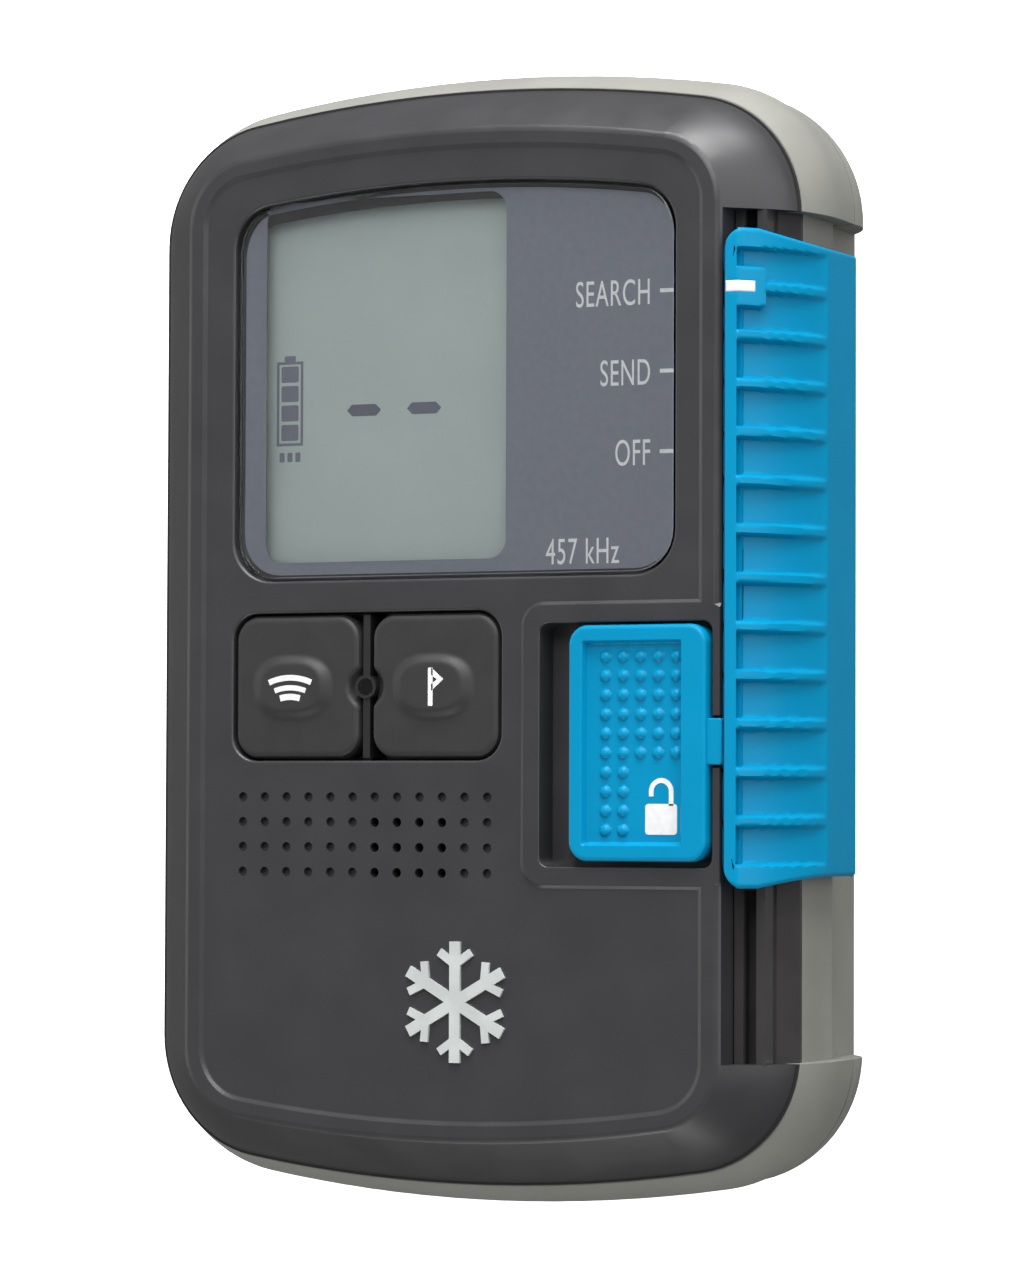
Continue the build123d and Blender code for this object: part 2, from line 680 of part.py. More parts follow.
def display_lens():
    return plate(lens_face(LENS_GROOVE), LENS_BOTTOM_Z, LENS_BOTTOM_Z + LENS_T)


def lens_gasket():
    ring = plate(lens_face(LENS_GROOVE + 0.2), LENS_BOTTOM_Z - LENS_GLUE_T, LENS_BOTTOM_Z)
    return ring - plate(lens_face(LENS_GROOVE + LENS_GLUE_W), 0, HEIGHT)


def lcd_glass():
    return block(LCD_X0, LCD_X1, LCD_Y0, LCD_Y1, LCD_TOP_Z - LCD_T, LCD_TOP_Z)


def lcd_backlight():
    top_z = LCD_TOP_Z - LCD_T
    margin = CONTACT_W + 1.4
    return block(LCD_X0 + 1, LCD_X1 - 1, LCD_Y0 + margin, LCD_Y1 - margin, top_z - BACKLIGHT_T, top_z)


def lcd_contacts():
    top_z = LCD_TOP_Z - LCD_T
    low = block(LCD_X0 + 3, LCD_X1 - 3, LCD_Y0 + 0.8, LCD_Y0 + 0.8 + CONTACT_W, BOARD_Z, top_z)
    high = block(LCD_X0 + 3, LCD_X1 - 3, LCD_Y1 - 0.8 - CONTACT_W, LCD_Y1 - 0.8, BOARD_Z, top_z)
    return Compound(children=[low, high])


def lcd_holder():
    body = block(
        LCD_X0 - HOLDER_T, LCD_X1 + HOLDER_T, LCD_Y0 - HOLDER_T, LCD_Y1 + HOLDER_T,
        BOARD_Z, CEILING_Z - 0.05)
    return body - block(LCD_X0, LCD_X1, LCD_Y0, LCD_Y1, 0, HEIGHT)


# ---- keys ----

KEY_FLANGE_Z = CEILING_Z - GAP - KEY_FLANGE_T
KEY_PLATE_Z = KEY_FLANGE_Z - KEY_TRAVEL - GAP - 0.1 - KEY_PLATE_T
SWITCH_TOP_Z = BOARD_Z + SWITCH_H
KEY_STEM_Z = SWITCH_TOP_Z + KEY_TRAVEL + 0.2
PIPE_X = (KEY_PANEL_X0 + KEY_PANEL_X1) / 2
KEY_RIB_W = KEY_GAP - 2 * GAP


def key(span, is_left):
    x0, x1 = span
    y0 = KEY_PANEL_Y0 + DOOR_GAP
    y1 = KEY_PANEL_Y1 - DOOR_GAP
    cap = plate(rounded(x0, x1, y0, y1, KEY_CORNER_R - DOOR_GAP), KEY_FLANGE_Z, FACE_Z - KEY_SINK)
    flange_x0 = x0 - KEY_FLANGE if is_left else x0
    flange_x1 = x1 if is_left else x1 + KEY_FLANGE
    body = cap + block(
        flange_x0, flange_x1, y0 - KEY_FLANGE, y1 + KEY_FLANGE, KEY_FLANGE_Z, KEY_FLANGE_Z + KEY_FLANGE_T)
    middle = (x0 + x1) / 2
    pad = rounded(
        middle - KEY_PAD_W / 2, middle + KEY_PAD_W / 2, PIPE_Y - KEY_PAD_H / 2, PIPE_Y + KEY_PAD_H / 2, 2.6)
    body += plate(pad, FACE_Z - KEY_SINK, FACE_Z - KEY_SINK + KEY_PAD_T)
    body += rod(middle, PIPE_Y, KEY_STEM_Z, KEY_FLANGE_Z, KEY_STEM_R)
    return body - rod(PIPE_X, PIPE_Y, 0, HEIGHT, PIPE_R + 0.3 + GAP)


def key_plate():
    body = block(
        KEY_PANEL_X0 - 1.1, KEY_PANEL_X1 + 1.1, KEY_PANEL_Y0 - 1.0, KEY_PANEL_Y1 + 1.6,
        KEY_PLATE_Z, KEY_PLATE_Z + KEY_PLATE_T)
    body += block(
        PIPE_X - KEY_RIB_W / 2, PIPE_X + KEY_RIB_W / 2, KEY_PANEL_Y0 + GAP, KEY_PANEL_Y1 - GAP,
        KEY_PLATE_Z, FACE_Z - KEY_SINK - GAP)
    body += rod(PIPE_X, PIPE_Y, KEY_PLATE_Z, FACE_Z - KEY_SINK, PIPE_R + 0.3)
    body -= rod(PIPE_X, PIPE_Y, 0, HEIGHT, PIPE_R)
    for x0, x1 in key_spans():
        body -= rod((x0 + x1) / 2, PIPE_Y, 0, CEILING_Z, KEY_STEM_R + GAP)
    return body


def light_pipe():
    return rod(PIPE_X, PIPE_Y, BOARD_Z + 1.1, FACE_Z - KEY_SINK, PIPE_R)


def status_led():
    return block(PIPE_X - 0.8, PIPE_X + 0.8, PIPE_Y - 0.6, PIPE_Y + 0.6, BOARD_Z, BOARD_Z + 0.9)


def key_switches():
    half = SWITCH_W / 2
    switches = []
    for x0, x1 in key_spans():
        x = (x0 + x1) / 2
        body = block(x - half, x + half, PIPE_Y - half, PIPE_Y + half, BOARD_Z, SWITCH_TOP_Z - 0.9)
        switches.append(body + rod(x, PIPE_Y, SWITCH_TOP_Z - 0.9, SWITCH_TOP_Z, 1.6))
    return Compound(children=switches)


# ---- speaker ----

SPEAKER_GASKET_T = 0.5
SPEAKER_MESH_T = 0.3
SPEAKER_TOP_Z = CEILING_Z - SPEAKER_MESH_T - SPEAKER_GASKET_T
SPEAKER_Z = SPEAKER_TOP_Z - SPEAKER_H
CONE_DEPTH = 1.2
CONE_T = 0.4


def at_speaker(z0, z1, radius):
    return rod(SPEAKER_X, SPEAKER_Y, z0, z1, radius)


def speaker_mesh():
    return at_speaker(CEILING_Z - SPEAKER_MESH_T, CEILING_Z, SPEAKER_R - 0.4)


def speaker_gasket():
    ring = at_speaker(SPEAKER_TOP_Z, CEILING_Z - SPEAKER_MESH_T, SPEAKER_R)
    return ring - at_speaker(0, HEIGHT, SPEAKER_R - SPEAKER_WALL)


def speaker_frame():
    cup = at_speaker(SPEAKER_Z, SPEAKER_TOP_Z, SPEAKER_R)
    cup -= at_speaker(SPEAKER_Z + SPEAKER_WALL, HEIGHT, SPEAKER_R - SPEAKER_WALL)
    return cup - at_speaker(0, HEIGHT, MAGNET_R)


def speaker_cone():
    rim_z = SPEAKER_TOP_Z - 0.8
    base = Plane.XY.offset(rim_z - CONE_DEPTH) * Circle(MAGNET_R)
    rim = Plane.XY.offset(rim_z) * Circle(SPEAKER_R - SPEAKER_WALL)
    outer = loft([base, rim])
    return Pos(SPEAKER_X, SPEAKER_Y, 0) * (outer - Pos(0, 0, CONE_T) * outer)


def speaker_magnet():
    return at_speaker(SPEAKER_Z - 0.9, SPEAKER_TOP_Z - 2.4, MAGNET_R)


# ---- board ----

def main_board():
    face = arched(
        -HALF_W + BOARD_INSET, HALF_W - BOARD_INSET, -HALF_L + BOARD_END_INSET, HALF_L - BOARD_END_INSET,
        BOARD_CORNER_R)
    body = plate(face, BOARD_Z - BOARD_T, BOARD_Z)
    for x, y in corners():
        body -= rod(x, y, 0, HEIGHT, POST_R + GAP)
    for x, y in board_posts():
        body -= rod(x, y, 0, HEIGHT, BOARD_SCREW_R + 0.15)
    return body


def board_screws():
    screws = []
    low = BOARD_Z - BOARD_T
    for x, y in board_posts():
        screw = rod(x, y, low - BOARD_SCREW_HEAD_H, low, BOARD_SCREW_HEAD_R)
        screw += rod(x, y, low, BOARD_Z + BOARD_SCREW_REACH - 0.5, BOARD_SCREW_R)
        screws.append(screw - block(x - 1.4, x + 1.4, y - 0.25, y + 0.25, low - 2, low - 0.7))
    return Compound(children=screws)


def on_board(x, y, w, h, t):
    return block(x - w / 2, x + w / 2, y - h / 2, y + h / 2, BOARD_Z, BOARD_Z + t)


def chips():
    places = [
        (-14.0, 28.0, 10.0, 10.0),
        (-2.0, 30.0, 7.0, 7.0),
        (-12.0, 15.5, 6.0, 5.0),
        (18.0, 26.0, 8.0, 8.0),
    ]
    return Compound(children=[on_board(x, y, w, h, 1.4) for x, y, w, h in places])


def small_parts():
    pieces = []
    for index in range(8):
        pieces.append(on_board(13.0 + 2.4 * (index % 4), 14.0 + 3.2 * (index // 4), 1.2, 2.0, 0.8))
    for index in range(4):
        pieces.append(on_board(-24.0 + 6.0 * index, -34.0, 2.5, 3.2, 1.2))
    return Compound(children=pieces)


def radio_shield():
    z1 = BOARD_Z - BOARD_T
    body = block(-6.0, 14.0, 16.0, 34.0, z1 - 2.4, z1)
    return body - block(-5.7, 13.7, 16.3, 33.7, z1 - 2.1, z1 + 1)


# ---- antennas ----

def core_y(x, y, length):
    half = CORE_W / 2
    return block(x - half, x + half, y - length / 2, y + length / 2, CORE_Z - half, CORE_Z + half)


def antenna_core_long():
    return core_y(LONG_CORE_X, 0, LONG_CORE_L)


def antenna_coil_long():
    half = CORE_W / 2 + COIL_T
    body = block(LONG_CORE_X - half, LONG_CORE_X + half, -12, 12, CORE_Z - half, CORE_Z + half)
    return body - core_y(LONG_CORE_X, 0, LONG_CORE_L)


def antenna_core_cross():
    half = CORE_W / 2
    return block(
        -CROSS_CORE_L / 2, CROSS_CORE_L / 2, CROSS_CORE_Y - half, CROSS_CORE_Y + half,
        CORE_Z - half, CORE_Z + half)


def antenna_coil_cross():
    half = CORE_W / 2 + COIL_T
    body = block(-8, 8, CROSS_CORE_Y - half, CROSS_CORE_Y + half, CORE_Z - half, CORE_Z + half)
    return body - antenna_core_cross()


def antenna_core_upright():
    z0 = FLOOR_T + 1.2
    body = rod(UPRIGHT_X, UPRIGHT_Y, z0, z0 + UPRIGHT_CORE_H, 2.6)
    for z in (z0, z0 + UPRIGHT_CORE_H - 1.2):
        body += rod(UPRIGHT_X, UPRIGHT_Y, z, z + 1.2, 6.0)
    return body


def antenna_coil_upright():
    z0 = FLOOR_T + 2.4
    ring = rod(UPRIGHT_X, UPRIGHT_Y, z0, z0 + UPRIGHT_CORE_H - 2.4, 5.4)
    return ring - rod(UPRIGHT_X, UPRIGHT_Y, 0, HEIGHT, 2.6)


def antenna_holders():
    low = CORE_Z - CORE_W / 2
    half = CORE_W / 2
    holders = []
    for y in (-LONG_CORE_L / 2 + 5, LONG_CORE_L / 2 - 5):
        body = block(LONG_CORE_X - half - 1.2, LONG_CORE_X + half + 1.2, y - 3, y + 3, FLOOR_T, low + 3)
        holders.append(body - core_y(LONG_CORE_X, 0, LONG_CORE_L))
    for x in (-CROSS_CORE_L / 2 + 4, CROSS_CORE_L / 2 - 4):
        body = block(
            x - 2.5, x + 2.5, CROSS_CORE_Y - half - 1.2, CROSS_CORE_Y + half + 1.2, FLOOR_T, low + 3)
        holders.append(body - antenna_core_cross())
    holders.append(rod(UPRIGHT_X, UPRIGHT_Y, FLOOR_T, FLOOR_T + 1.2, 6.6))
    return Compound(children=holders)


# ---- vibration motor ----

def motor_can():
    can = rod_along_y(MOTOR_X, MOTOR_Y, MOTOR_Y + MOTOR_L, MOTOR_Z, MOTOR_R)
    return can - rod_along_y(MOTOR_X, MOTOR_Y - 1, MOTOR_Y + 4.2, MOTOR_Z, MOTOR_SHAFT_R + 0.05)


def motor_weight():
    y0 = MOTOR_Y - 0.6 - WEIGHT_L
    disc = rod_along_y(MOTOR_X, y0, y0 + WEIGHT_L, MOTOR_Z, WEIGHT_R)
    disc -= block(MOTOR_X - WEIGHT_R, MOTOR_X + WEIGHT_R, y0 - 1, MOTOR_Y, MOTOR_Z + 0.8, MOTOR_Z + 4)
    return disc + rod_along_y(MOTOR_X, y0, MOTOR_Y + 4.0, MOTOR_Z, MOTOR_SHAFT_R)


def motor_holder():
    half = MOTOR_R + 1.0
    y0 = MOTOR_Y + 1.5
    body = block(MOTOR_X - half, MOTOR_X + half, y0, MOTOR_Y + MOTOR_L - 1.5, FLOOR_T, MOTOR_Z + half)
    return body - rod_along_y(MOTOR_X, MOTOR_Y - 1, MOTOR_Y + MOTOR_L + 1, MOTOR_Z, MOTOR_R)


# ---- mode slider ----

LINER_Z = FRONT_SEAM_Z + LINER_FLOOR_T
RAIL_TOP_Z = LINER_Z + RAIL_H
LINER_X1 = RAIL_X + LINER_SIDE_T
FLANGE_X = LINER_X1 + GAP
FOOT_X = SLIDER_X + 1.25
FOOT_W = 0.8
FOOT_HOOK = 0.4
SLIDER_UNDER_Z = RAIL_TOP_Z + 1.3
SIDE_WALL_Z0 = FLANGE_Z + HOOK_T + GAP       # the band stands out behind the slider's flange from here
SIDE_WALL_Z1 = LINER_Z - LINER_SHOULDER_H - 0.6      # up to the liner's side


def side_profile(points, y0, y1):
    """A solid along Y with the given outline, drawn as (x, z) points."""
    face = make_face([Plane.XZ * Polyline(*points, close=True)])
    return Pos(0, y1, 0) * extrude(face, amount=y1 - y0)


def slider_skin_face(inset):
    """The slider's outer section: flat strip, rounded shoulder, then a flat flange down the case's side."""
    x0 = SLIDER_X
    x1 = HALF_W - inset
    top_z = HEIGHT - inset
    edges = [
        Line((x0, FLANGE_Z), (x0, top_z)),
        Line((x0, top_z), (x0 + STRIP_W - inset, top_z)),
        ThreePointArc(
            (x0 + STRIP_W - inset, top_z),
            (HALF_W - SHOULDER_MID_IN - inset, HEIGHT - SHOULDER_MID_DROP - inset * 0.7),
            (x1, CREASE_Z)),
        Line((x1, CREASE_Z), (x1, FLANGE_Z)),
        Line((x1, FLANGE_Z), (x0, FLANGE_Z)),
    ]
    return Plane.XZ * make_face(edges)


def slider_block(inset, y0, y1):
    return Pos(0, y1, 0) * extrude(slider_skin_face(inset), amount=y1 - y0)


def rails():
    """The two lipped rails on the liner's floor, one each side of the slider's feet."""
    y0 = CHANNEL_BOTTOM_Y
    y1 = CHANNEL_TOP_Y
    half = RAIL_T / 2
    lip_half = (FOOT_HOOK + GAP + half) / 2
    pieces = []
    for side in (-1, 1):
        stem = FOOT_X + side * (FOOT_W / 2 + FOOT_HOOK + GAP + half)
        lip = FOOT_X + side * (FOOT_W / 2 + GAP + lip_half)
        pieces.append(block(stem - half, stem + half, y0, y1, LINER_Z, RAIL_TOP_Z))
        pieces.append(block(lip - lip_half, lip + lip_half, y0, y1, RAIL_TOP_Z - RAIL_T, RAIL_TOP_Z))
    return pieces


def slide_rail():
    y0 = CHANNEL_BOTTOM_Y
    y1 = CHANNEL_TOP_Y
    body = block(CHANNEL_X, LINER_X1, y0, y1, FRONT_SEAM_Z, LINER_Z)
    body += block(RAIL_X, LINER_X1, y0, y1, SIDE_WALL_Z1, LINER_Z)
    shoulder = [
        (LINER_X1 - LINER_SHOULDER_W, LINER_Z),
        (LINER_X1, LINER_Z - LINER_SHOULDER_H),
        (HALF_W, LINER_Z - LINER_SHOULDER_H),
        (HALF_W, HEIGHT),
        (LINER_X1 - LINER_SHOULDER_W, HEIGHT),
    ]
    body -= side_profile(shoulder, y0 - 1, y1 + 1)
    for piece in rails():
        body += piece
    return body


def rib_ys():
    return [FIRST_RIB_Y - index * RIB_PITCH for index in range(RIB_COUNT)]


def slider_pockets():
    """The finger pockets between the ribs, deep at the strip and running out on the shoulder."""
    x0 = SLIDER_X + STRIP_W
    section = [
        (x0, HEIGHT + 1),
        (x0, HEIGHT - SCOOP_WALL),
        (x0 + SCOOP_RUN, HEIGHT - SCOOP_DROP),
        (HALF_W + 1, HEIGHT - SCOOP_DROP),
        (HALF_W + 1, HEIGHT + 1),
    ]
    edges = [SLIDER_TOP_Y - SCOOP_TOP_MARGIN]
    for index, y in enumerate(rib_ys()):
        half = INDEX_BLOCK_H / 2 if index == 0 else RIB_T / 2
        edges += [y + half, y - half]
    edges.append(SLIDER_BOTTOM_Y + SCOOP_BOTTOM_MARGIN)
    pockets = []
    for upper, lower in zip(edges[0::2], edges[1::2]):
        pockets.append(side_profile(section, lower, upper))
    return pockets


def index_mark_space():
    y = FIRST_RIB_Y
    shell = slider_block(0, y - INDEX_MARK_H / 2, y + INDEX_MARK_H / 2)
    shell -= slider_block(0.4, y - INDEX_MARK_H, y + INDEX_MARK_H)
    x0 = SLIDER_X + 0.05
    return shell & block(x0, x0 + INDEX_MARK_W, y - 2, y + 2, HEIGHT - 6, HEIGHT + 1)


def magnet_space():
    return block(SLIDER_X + 0.4, SLIDER_X + 1.5, 1.0, 8.0, SLIDER_UNDER_Z, SLIDER_UNDER_Z + 1.3)


def mode_slider():
    y0 = SLIDER_BOTTOM_Y
    y1 = SLIDER_TOP_Y
    body = slider_block(0, y0, y1)
    plan = [
        (SLIDER_X - 1, y0),
        (SLIDER_X + STRIP_W, y0),
        (HALF_W + 1, y0 + END_SLANT),
        (HALF_W + 1, y1 - END_SLANT),
        (SLIDER_X + STRIP_W, y1),
        (SLIDER_X - 1, y1),
    ]
    body &= plate(make_face([Polyline(*plan, close=True)]), 0, HEIGHT + 1)
    clear_z = RAIL_TOP_Z + GAP
    rails_x = FOOT_X + FOOT_W / 2 + FOOT_HOOK + 2 * GAP + RAIL_T
    underside = [
        (0, FLANGE_Z + HOOK_T),
        (FLANGE_X, FLANGE_Z + HOOK_T),
        (FLANGE_X, LINER_Z - LINER_SHOULDER_H + GAP),
        (FLANGE_X - LINER_SHOULDER_W + 0.1, LINER_Z + GAP),
        (rails_x, LINER_Z + GAP),
        (rails_x, clear_z),
        (0, clear_z),
    ]
    body -= side_profile(underside, y0 - 1, y1 + 1)
    body -= block(0, RAIL_X + GAP, y0 - 1, y1 + 1, 0, FLANGE_Z + HOOK_T)
    hollow = slider_block(SLIDER_SKIN, y0 + SLIDER_SKIN, y1 - SLIDER_SKIN)
    hollow &= block(SLIDER_X + STRIP_W, FLANGE_X, y0, y1, clear_z - 1, HEIGHT)
    body -= hollow
    body -= block(
        0, SLIDER_X + STRIP_W + 0.01, y0 + SLIDER_SKIN, y1 - SLIDER_SKIN, clear_z - 1, SLIDER_UNDER_Z)
    for pocket in slider_pockets():
        body -= pocket
    for low, high in ((y0 + 6, y0 + 18), (y1 - 20, y1 - 8)):
        hook_z = LINER_Z + 0.9
        body += block(FOOT_X - FOOT_W / 2, FOOT_X + FOOT_W / 2, low, high, hook_z, SLIDER_UNDER_Z + 0.2)
        wide = FOOT_W / 2 + FOOT_HOOK
        body += block(FOOT_X - wide, FOOT_X + wide, low, high, hook_z, RAIL_TOP_Z - RAIL_T - GAP)
    return body - index_mark_space() - magnet_space()


def detent_spring():
    y = SLIDER_TOP_Y - 14
    leaf = block(FOOT_X - 0.4, FOOT_X + 0.4, y - 6, y + 6, LINER_Z, LINER_Z + 0.25)
    nose = rod_along_x(FOOT_X - 0.4, FOOT_X + 0.4, y, LINER_Z + 0.15, 0.42)
    return leaf + (nose & block(0, HALF_W, y - 2, y + 2, LINER_Z, LINER_Z + 2))


def hall_sensors():
    sensors = []
    for stop in range(3):
        y = 4.5 - stop * SLIDER_TRAVEL / 2
        sensors.append(on_board(HALF_W - 8.0, y, 2.6, 2.9, 1.1))
    return Compound(children=sensors)


# ---- lock ----

LOCK_PLATE_Z = CEILING_Z + 0.2
LOCK_BUTTON_Z = LOCK_PLATE_Z + LOCK_PLATE_T


def lock_spring_space(grow):
    return block(
        LOCK_X0 - LOCK_PLATE_REACH - 1, LOCK_X0 - LOCK_PLATE_REACH + LOCK_SPRING_L + 0.2,
        TONGUE_Y - LOCK_SPRING_R - grow, TONGUE_Y + LOCK_SPRING_R + grow,
        0, LOCK_PLATE_Z + 2 * LOCK_SPRING_R + 2 * grow)


def lock_plate():
    x0 = LOCK_X0 - LOCK_PLATE_REACH
    body = block(x0, LOCK_X1 - 0.2, LOCK_BOTTOM_Y + 0.3, LOCK_TOP_Y - 0.3, LOCK_PLATE_Z, LOCK_BUTTON_Z)
    for y in lock_guide_ys():
        half = LOCK_FOOT_W / 2
        wide = half + LOCK_FOOT_HOOK
        foot_x0 = LOCK_FOOT_X1 - LOCK_FOOT_L
        hook_z = CEILING_Z - RECESS_FLOOR_T - GAP
        foot_z = hook_z - 0.7
        body += block(foot_x0, LOCK_FOOT_X1, y - half, y + half, foot_z, LOCK_PLATE_Z)
        body += block(foot_x0, LOCK_FOOT_X1, y - wide, y + wide, foot_z, hook_z)
    return body - lock_spring_space(0.1)


def bump_points():
    x0 = LOCK_X0 + 3.85
    y0 = LOCK_TOP_Y - 3.2
    for row in range(10):
        columns = 5 if row < 6 else 2
        for column in range(columns):
            yield x0 + column * BUMP_PITCH, y0 - row * BUMP_PITCH


def lock_button():
    face = rounded(LOCK_X0, LOCK_X1, LOCK_BOTTOM_Y, LOCK_TOP_Y, LOCK_CORNER_R)
    body = plate(face, LOCK_BUTTON_Z, HEIGHT)
    inner = rounded(
        LOCK_X0 + GRIP_LEFT, LOCK_X1 - GRIP_RIGHT, LOCK_BOTTOM_Y + GRIP_END, LOCK_TOP_Y - GRIP_END,
        GRIP_CORNER_R)
    floor_z = HEIGHT - POCKET_DEPTH
    body -= plate(inner, floor_z, HEIGHT + 1)
    for x, y in bump_points():
        body += rod(x, y, floor_z - 0.1, floor_z + BUMP_H, BUMP_R)
    body += block(
        LOCK_X1 - 1, SLIDER_X - 0.25, TONGUE_Y - TONGUE_W / 2, TONGUE_Y + TONGUE_W / 2,
        FACE_Z - TONGUE_T + 2 * GAP, FACE_Z + 2 * GAP)
    return body - lock_spring_space(0.1)


def lock_spring():
    x0 = LOCK_X0 - LOCK_PLATE_REACH + 0.05
    spring = coil(LOCK_SPRING_L, LOCK_SPRING_R, LOCK_SPRING_WIRE, LOCK_SPRING_TURNS)
    return Pos(x0, TONGUE_Y, LOCK_PLATE_Z + LOCK_SPRING_R + 0.05) * Rot(0, 90, 0) * spring


# ---- badge ----

def badge():
    star = Circle(BADGE_ARM_W)
    for turn in range(3):
        star += Rot(0, 0, 60 * turn) * Rectangle(BADGE_ARM_W, 2 * BADGE_R)
    for turn in range(6):
        for side in (-1, 1):
            barb = Pos(0, BADGE_BARB_L / 2) * Rectangle(BADGE_BARB_W, BADGE_BARB_L)
            barb = Pos(0, BADGE_R * 0.62) * Rot(0, 0, side * 55) * barb
            star += Rot(0, 0, 60 * turn) * barb
    return Pos(BADGE_X, BADGE_Y, 0) * plate(star, FACE_Z, FACE_Z + BADGE_T)


NODES = {
    "front_cover": front_cover,
    "mid_band": mid_band,
    "rear_cover": rear_cover,
    "front_seal": front_seal,
    "rear_seal": rear_seal,
    "case_screws": case_screws,
    "case_inserts": case_inserts,
    "lanyard_eye": lanyard_eye,
    "battery_door": battery_door,
    "door_seal": door_seal,
    "door_screw": door_screw,
    "door_insert": door_insert,
    "battery_springs": battery_springs,
    "battery_plates": battery_plates,
    "display_lens": display_lens,
    "lens_gasket": lens_gasket,
    "lcd_glass": lcd_glass,
    "lcd_backlight": lcd_backlight,
    "lcd_contacts": lcd_contacts,
    "lcd_holder": lcd_holder,
    "key_plate": key_plate,
    "light_pipe": light_pipe,
    "status_led": status_led,
    "key_switches": key_switches,
    "speaker_mesh": speaker_mesh,
    "speaker_gasket": speaker_gasket,
    "speaker_frame": speaker_frame,
    "speaker_cone": speaker_cone,
    "speaker_magnet": speaker_magnet,
    "main_board": main_board,
    "board_screws": board_screws,
    "chips": chips,
    "small_parts": small_parts,
    "radio_shield": radio_shield,
    "antenna_core_long": antenna_core_long,
    "antenna_coil_long": antenna_coil_long,
    "antenna_core_cross": antenna_core_cross,
    "antenna_coil_cross": antenna_coil_cross,
    "antenna_core_upright": antenna_core_upright,
    "antenna_coil_upright": antenna_coil_upright,
    "antenna_holders": antenna_holders,
    "motor_can": motor_can,
    "motor_weight": motor_weight,
    "motor_holder": motor_holder,
    "mode_slider": mode_slider,
    "index_mark": index_mark_space,
    "slider_magnet": magnet_space,
    "slide_rail": slide_rail,
    "detent_spring": detent_spring,
    "hall_sensors": hall_sensors,
    "lock_button": lock_button,
    "lock_plate": lock_plate,
    "lock_spring": lock_spring,
    "badge": badge,
}

for node, make in NODES.items():
    save(node, make())

for index, x, spring_end in cell_places():
    save(f"battery_{index + 1}", cell(x, spring_end))

left_span, right_span = key_spans()
save("search_key", key(left_span, True))
save("mark_key", key(right_span, False))
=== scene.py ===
import json
import math

import bmesh
import bpy
from mathutils import Matrix, Vector


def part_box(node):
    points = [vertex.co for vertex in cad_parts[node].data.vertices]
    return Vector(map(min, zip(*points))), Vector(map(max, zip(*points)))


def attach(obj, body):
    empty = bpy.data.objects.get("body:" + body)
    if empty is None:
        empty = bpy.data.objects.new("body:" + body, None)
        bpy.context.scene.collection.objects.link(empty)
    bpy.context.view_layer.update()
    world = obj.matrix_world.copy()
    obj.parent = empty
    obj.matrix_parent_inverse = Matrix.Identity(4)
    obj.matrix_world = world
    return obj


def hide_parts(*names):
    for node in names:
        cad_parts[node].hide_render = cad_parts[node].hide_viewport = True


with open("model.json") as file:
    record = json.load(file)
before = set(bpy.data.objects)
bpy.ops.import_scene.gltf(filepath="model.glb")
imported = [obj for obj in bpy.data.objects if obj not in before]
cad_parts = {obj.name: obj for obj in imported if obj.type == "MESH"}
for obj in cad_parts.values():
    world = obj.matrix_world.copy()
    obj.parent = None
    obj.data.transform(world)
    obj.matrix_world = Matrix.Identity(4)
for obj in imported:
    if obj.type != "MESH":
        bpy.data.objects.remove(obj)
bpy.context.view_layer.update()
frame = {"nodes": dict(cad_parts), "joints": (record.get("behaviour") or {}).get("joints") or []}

bl_info = {
    "name": "Avalanche transceiver looks",
    "version": (1, 0, 0),
    "blender": (4, 5, 0),
    "location": "3D View > Sidebar > Transceiver",
    "description": "Detailed pieces, finishes and studio for an avalanche transceiver",
    "category": "Object",
}

MM = 0.001
SAME_PLACE = 1e-7
SAME_CORNER = 1e-6
# Distance between the bands of a wave texture whose scale is 1.
WAVE_PERIOD = 0.314
# The frame brings plain materials with the record's names, so the finishes made here end differently.
FINISH_END = "_finish"


# ---- small helpers ----

def linear(code):
    """A colour given as an sRGB hex code, as linear red, green and blue."""
    values = [int(code[i:i + 2], 16) / 255 for i in (0, 2, 4)]
    return tuple(v / 12.92 if v <= 0.04045 else ((v + 0.055) / 1.055) ** 2.4 for v in values)


def smooth(value, low, high):
    """0 below low, 1 above high, with an eased step between."""
    share = min(max((value - low) / (high - low), 0.0), 1.0)
    return share * share * (3 - 2 * share)


def plateau(value, low, high, slope):
    """1 between low and high, falling to 0 over a slope outside them."""
    return smooth(value, low - slope, low) * (1 - smooth(value, high, high + slope))


def roll_off(distance, radius):
    """How far a rounded edge drops at a distance in from the edge."""
    if distance >= radius:
        return 0.0
    short = radius - max(distance, 0.0)
    return radius - math.sqrt(radius * radius - short * short)


def circle_through(a, b, c):
    """Centre and radius of the circle through three points of a plane."""
    ax, ay = a
    bx, by = b
    cx, cy = c
    d = 2 * (ax * (by - cy) + bx * (cy - ay) + cx * (ay - by))
    aa, bb, cc = ax * ax + ay * ay, bx * bx + by * by, cx * cx + cy * cy
    x = (aa * (by - cy) + bb * (cy - ay) + cc * (ay - by)) / d
    y = (aa * (cx - bx) + bb * (ax - cx) + cc * (bx - ax)) / d
    return (x, y), math.hypot(ax - x, ay - y)


def on_arc(centre, radius, angle):
    """A place on a circle, and the direction outwards there."""
    outward = (math.cos(angle), math.sin(angle))
    return (centre[0] + radius * outward[0], centre[1] + radius * outward[1]), outward


# ---- meshes ----

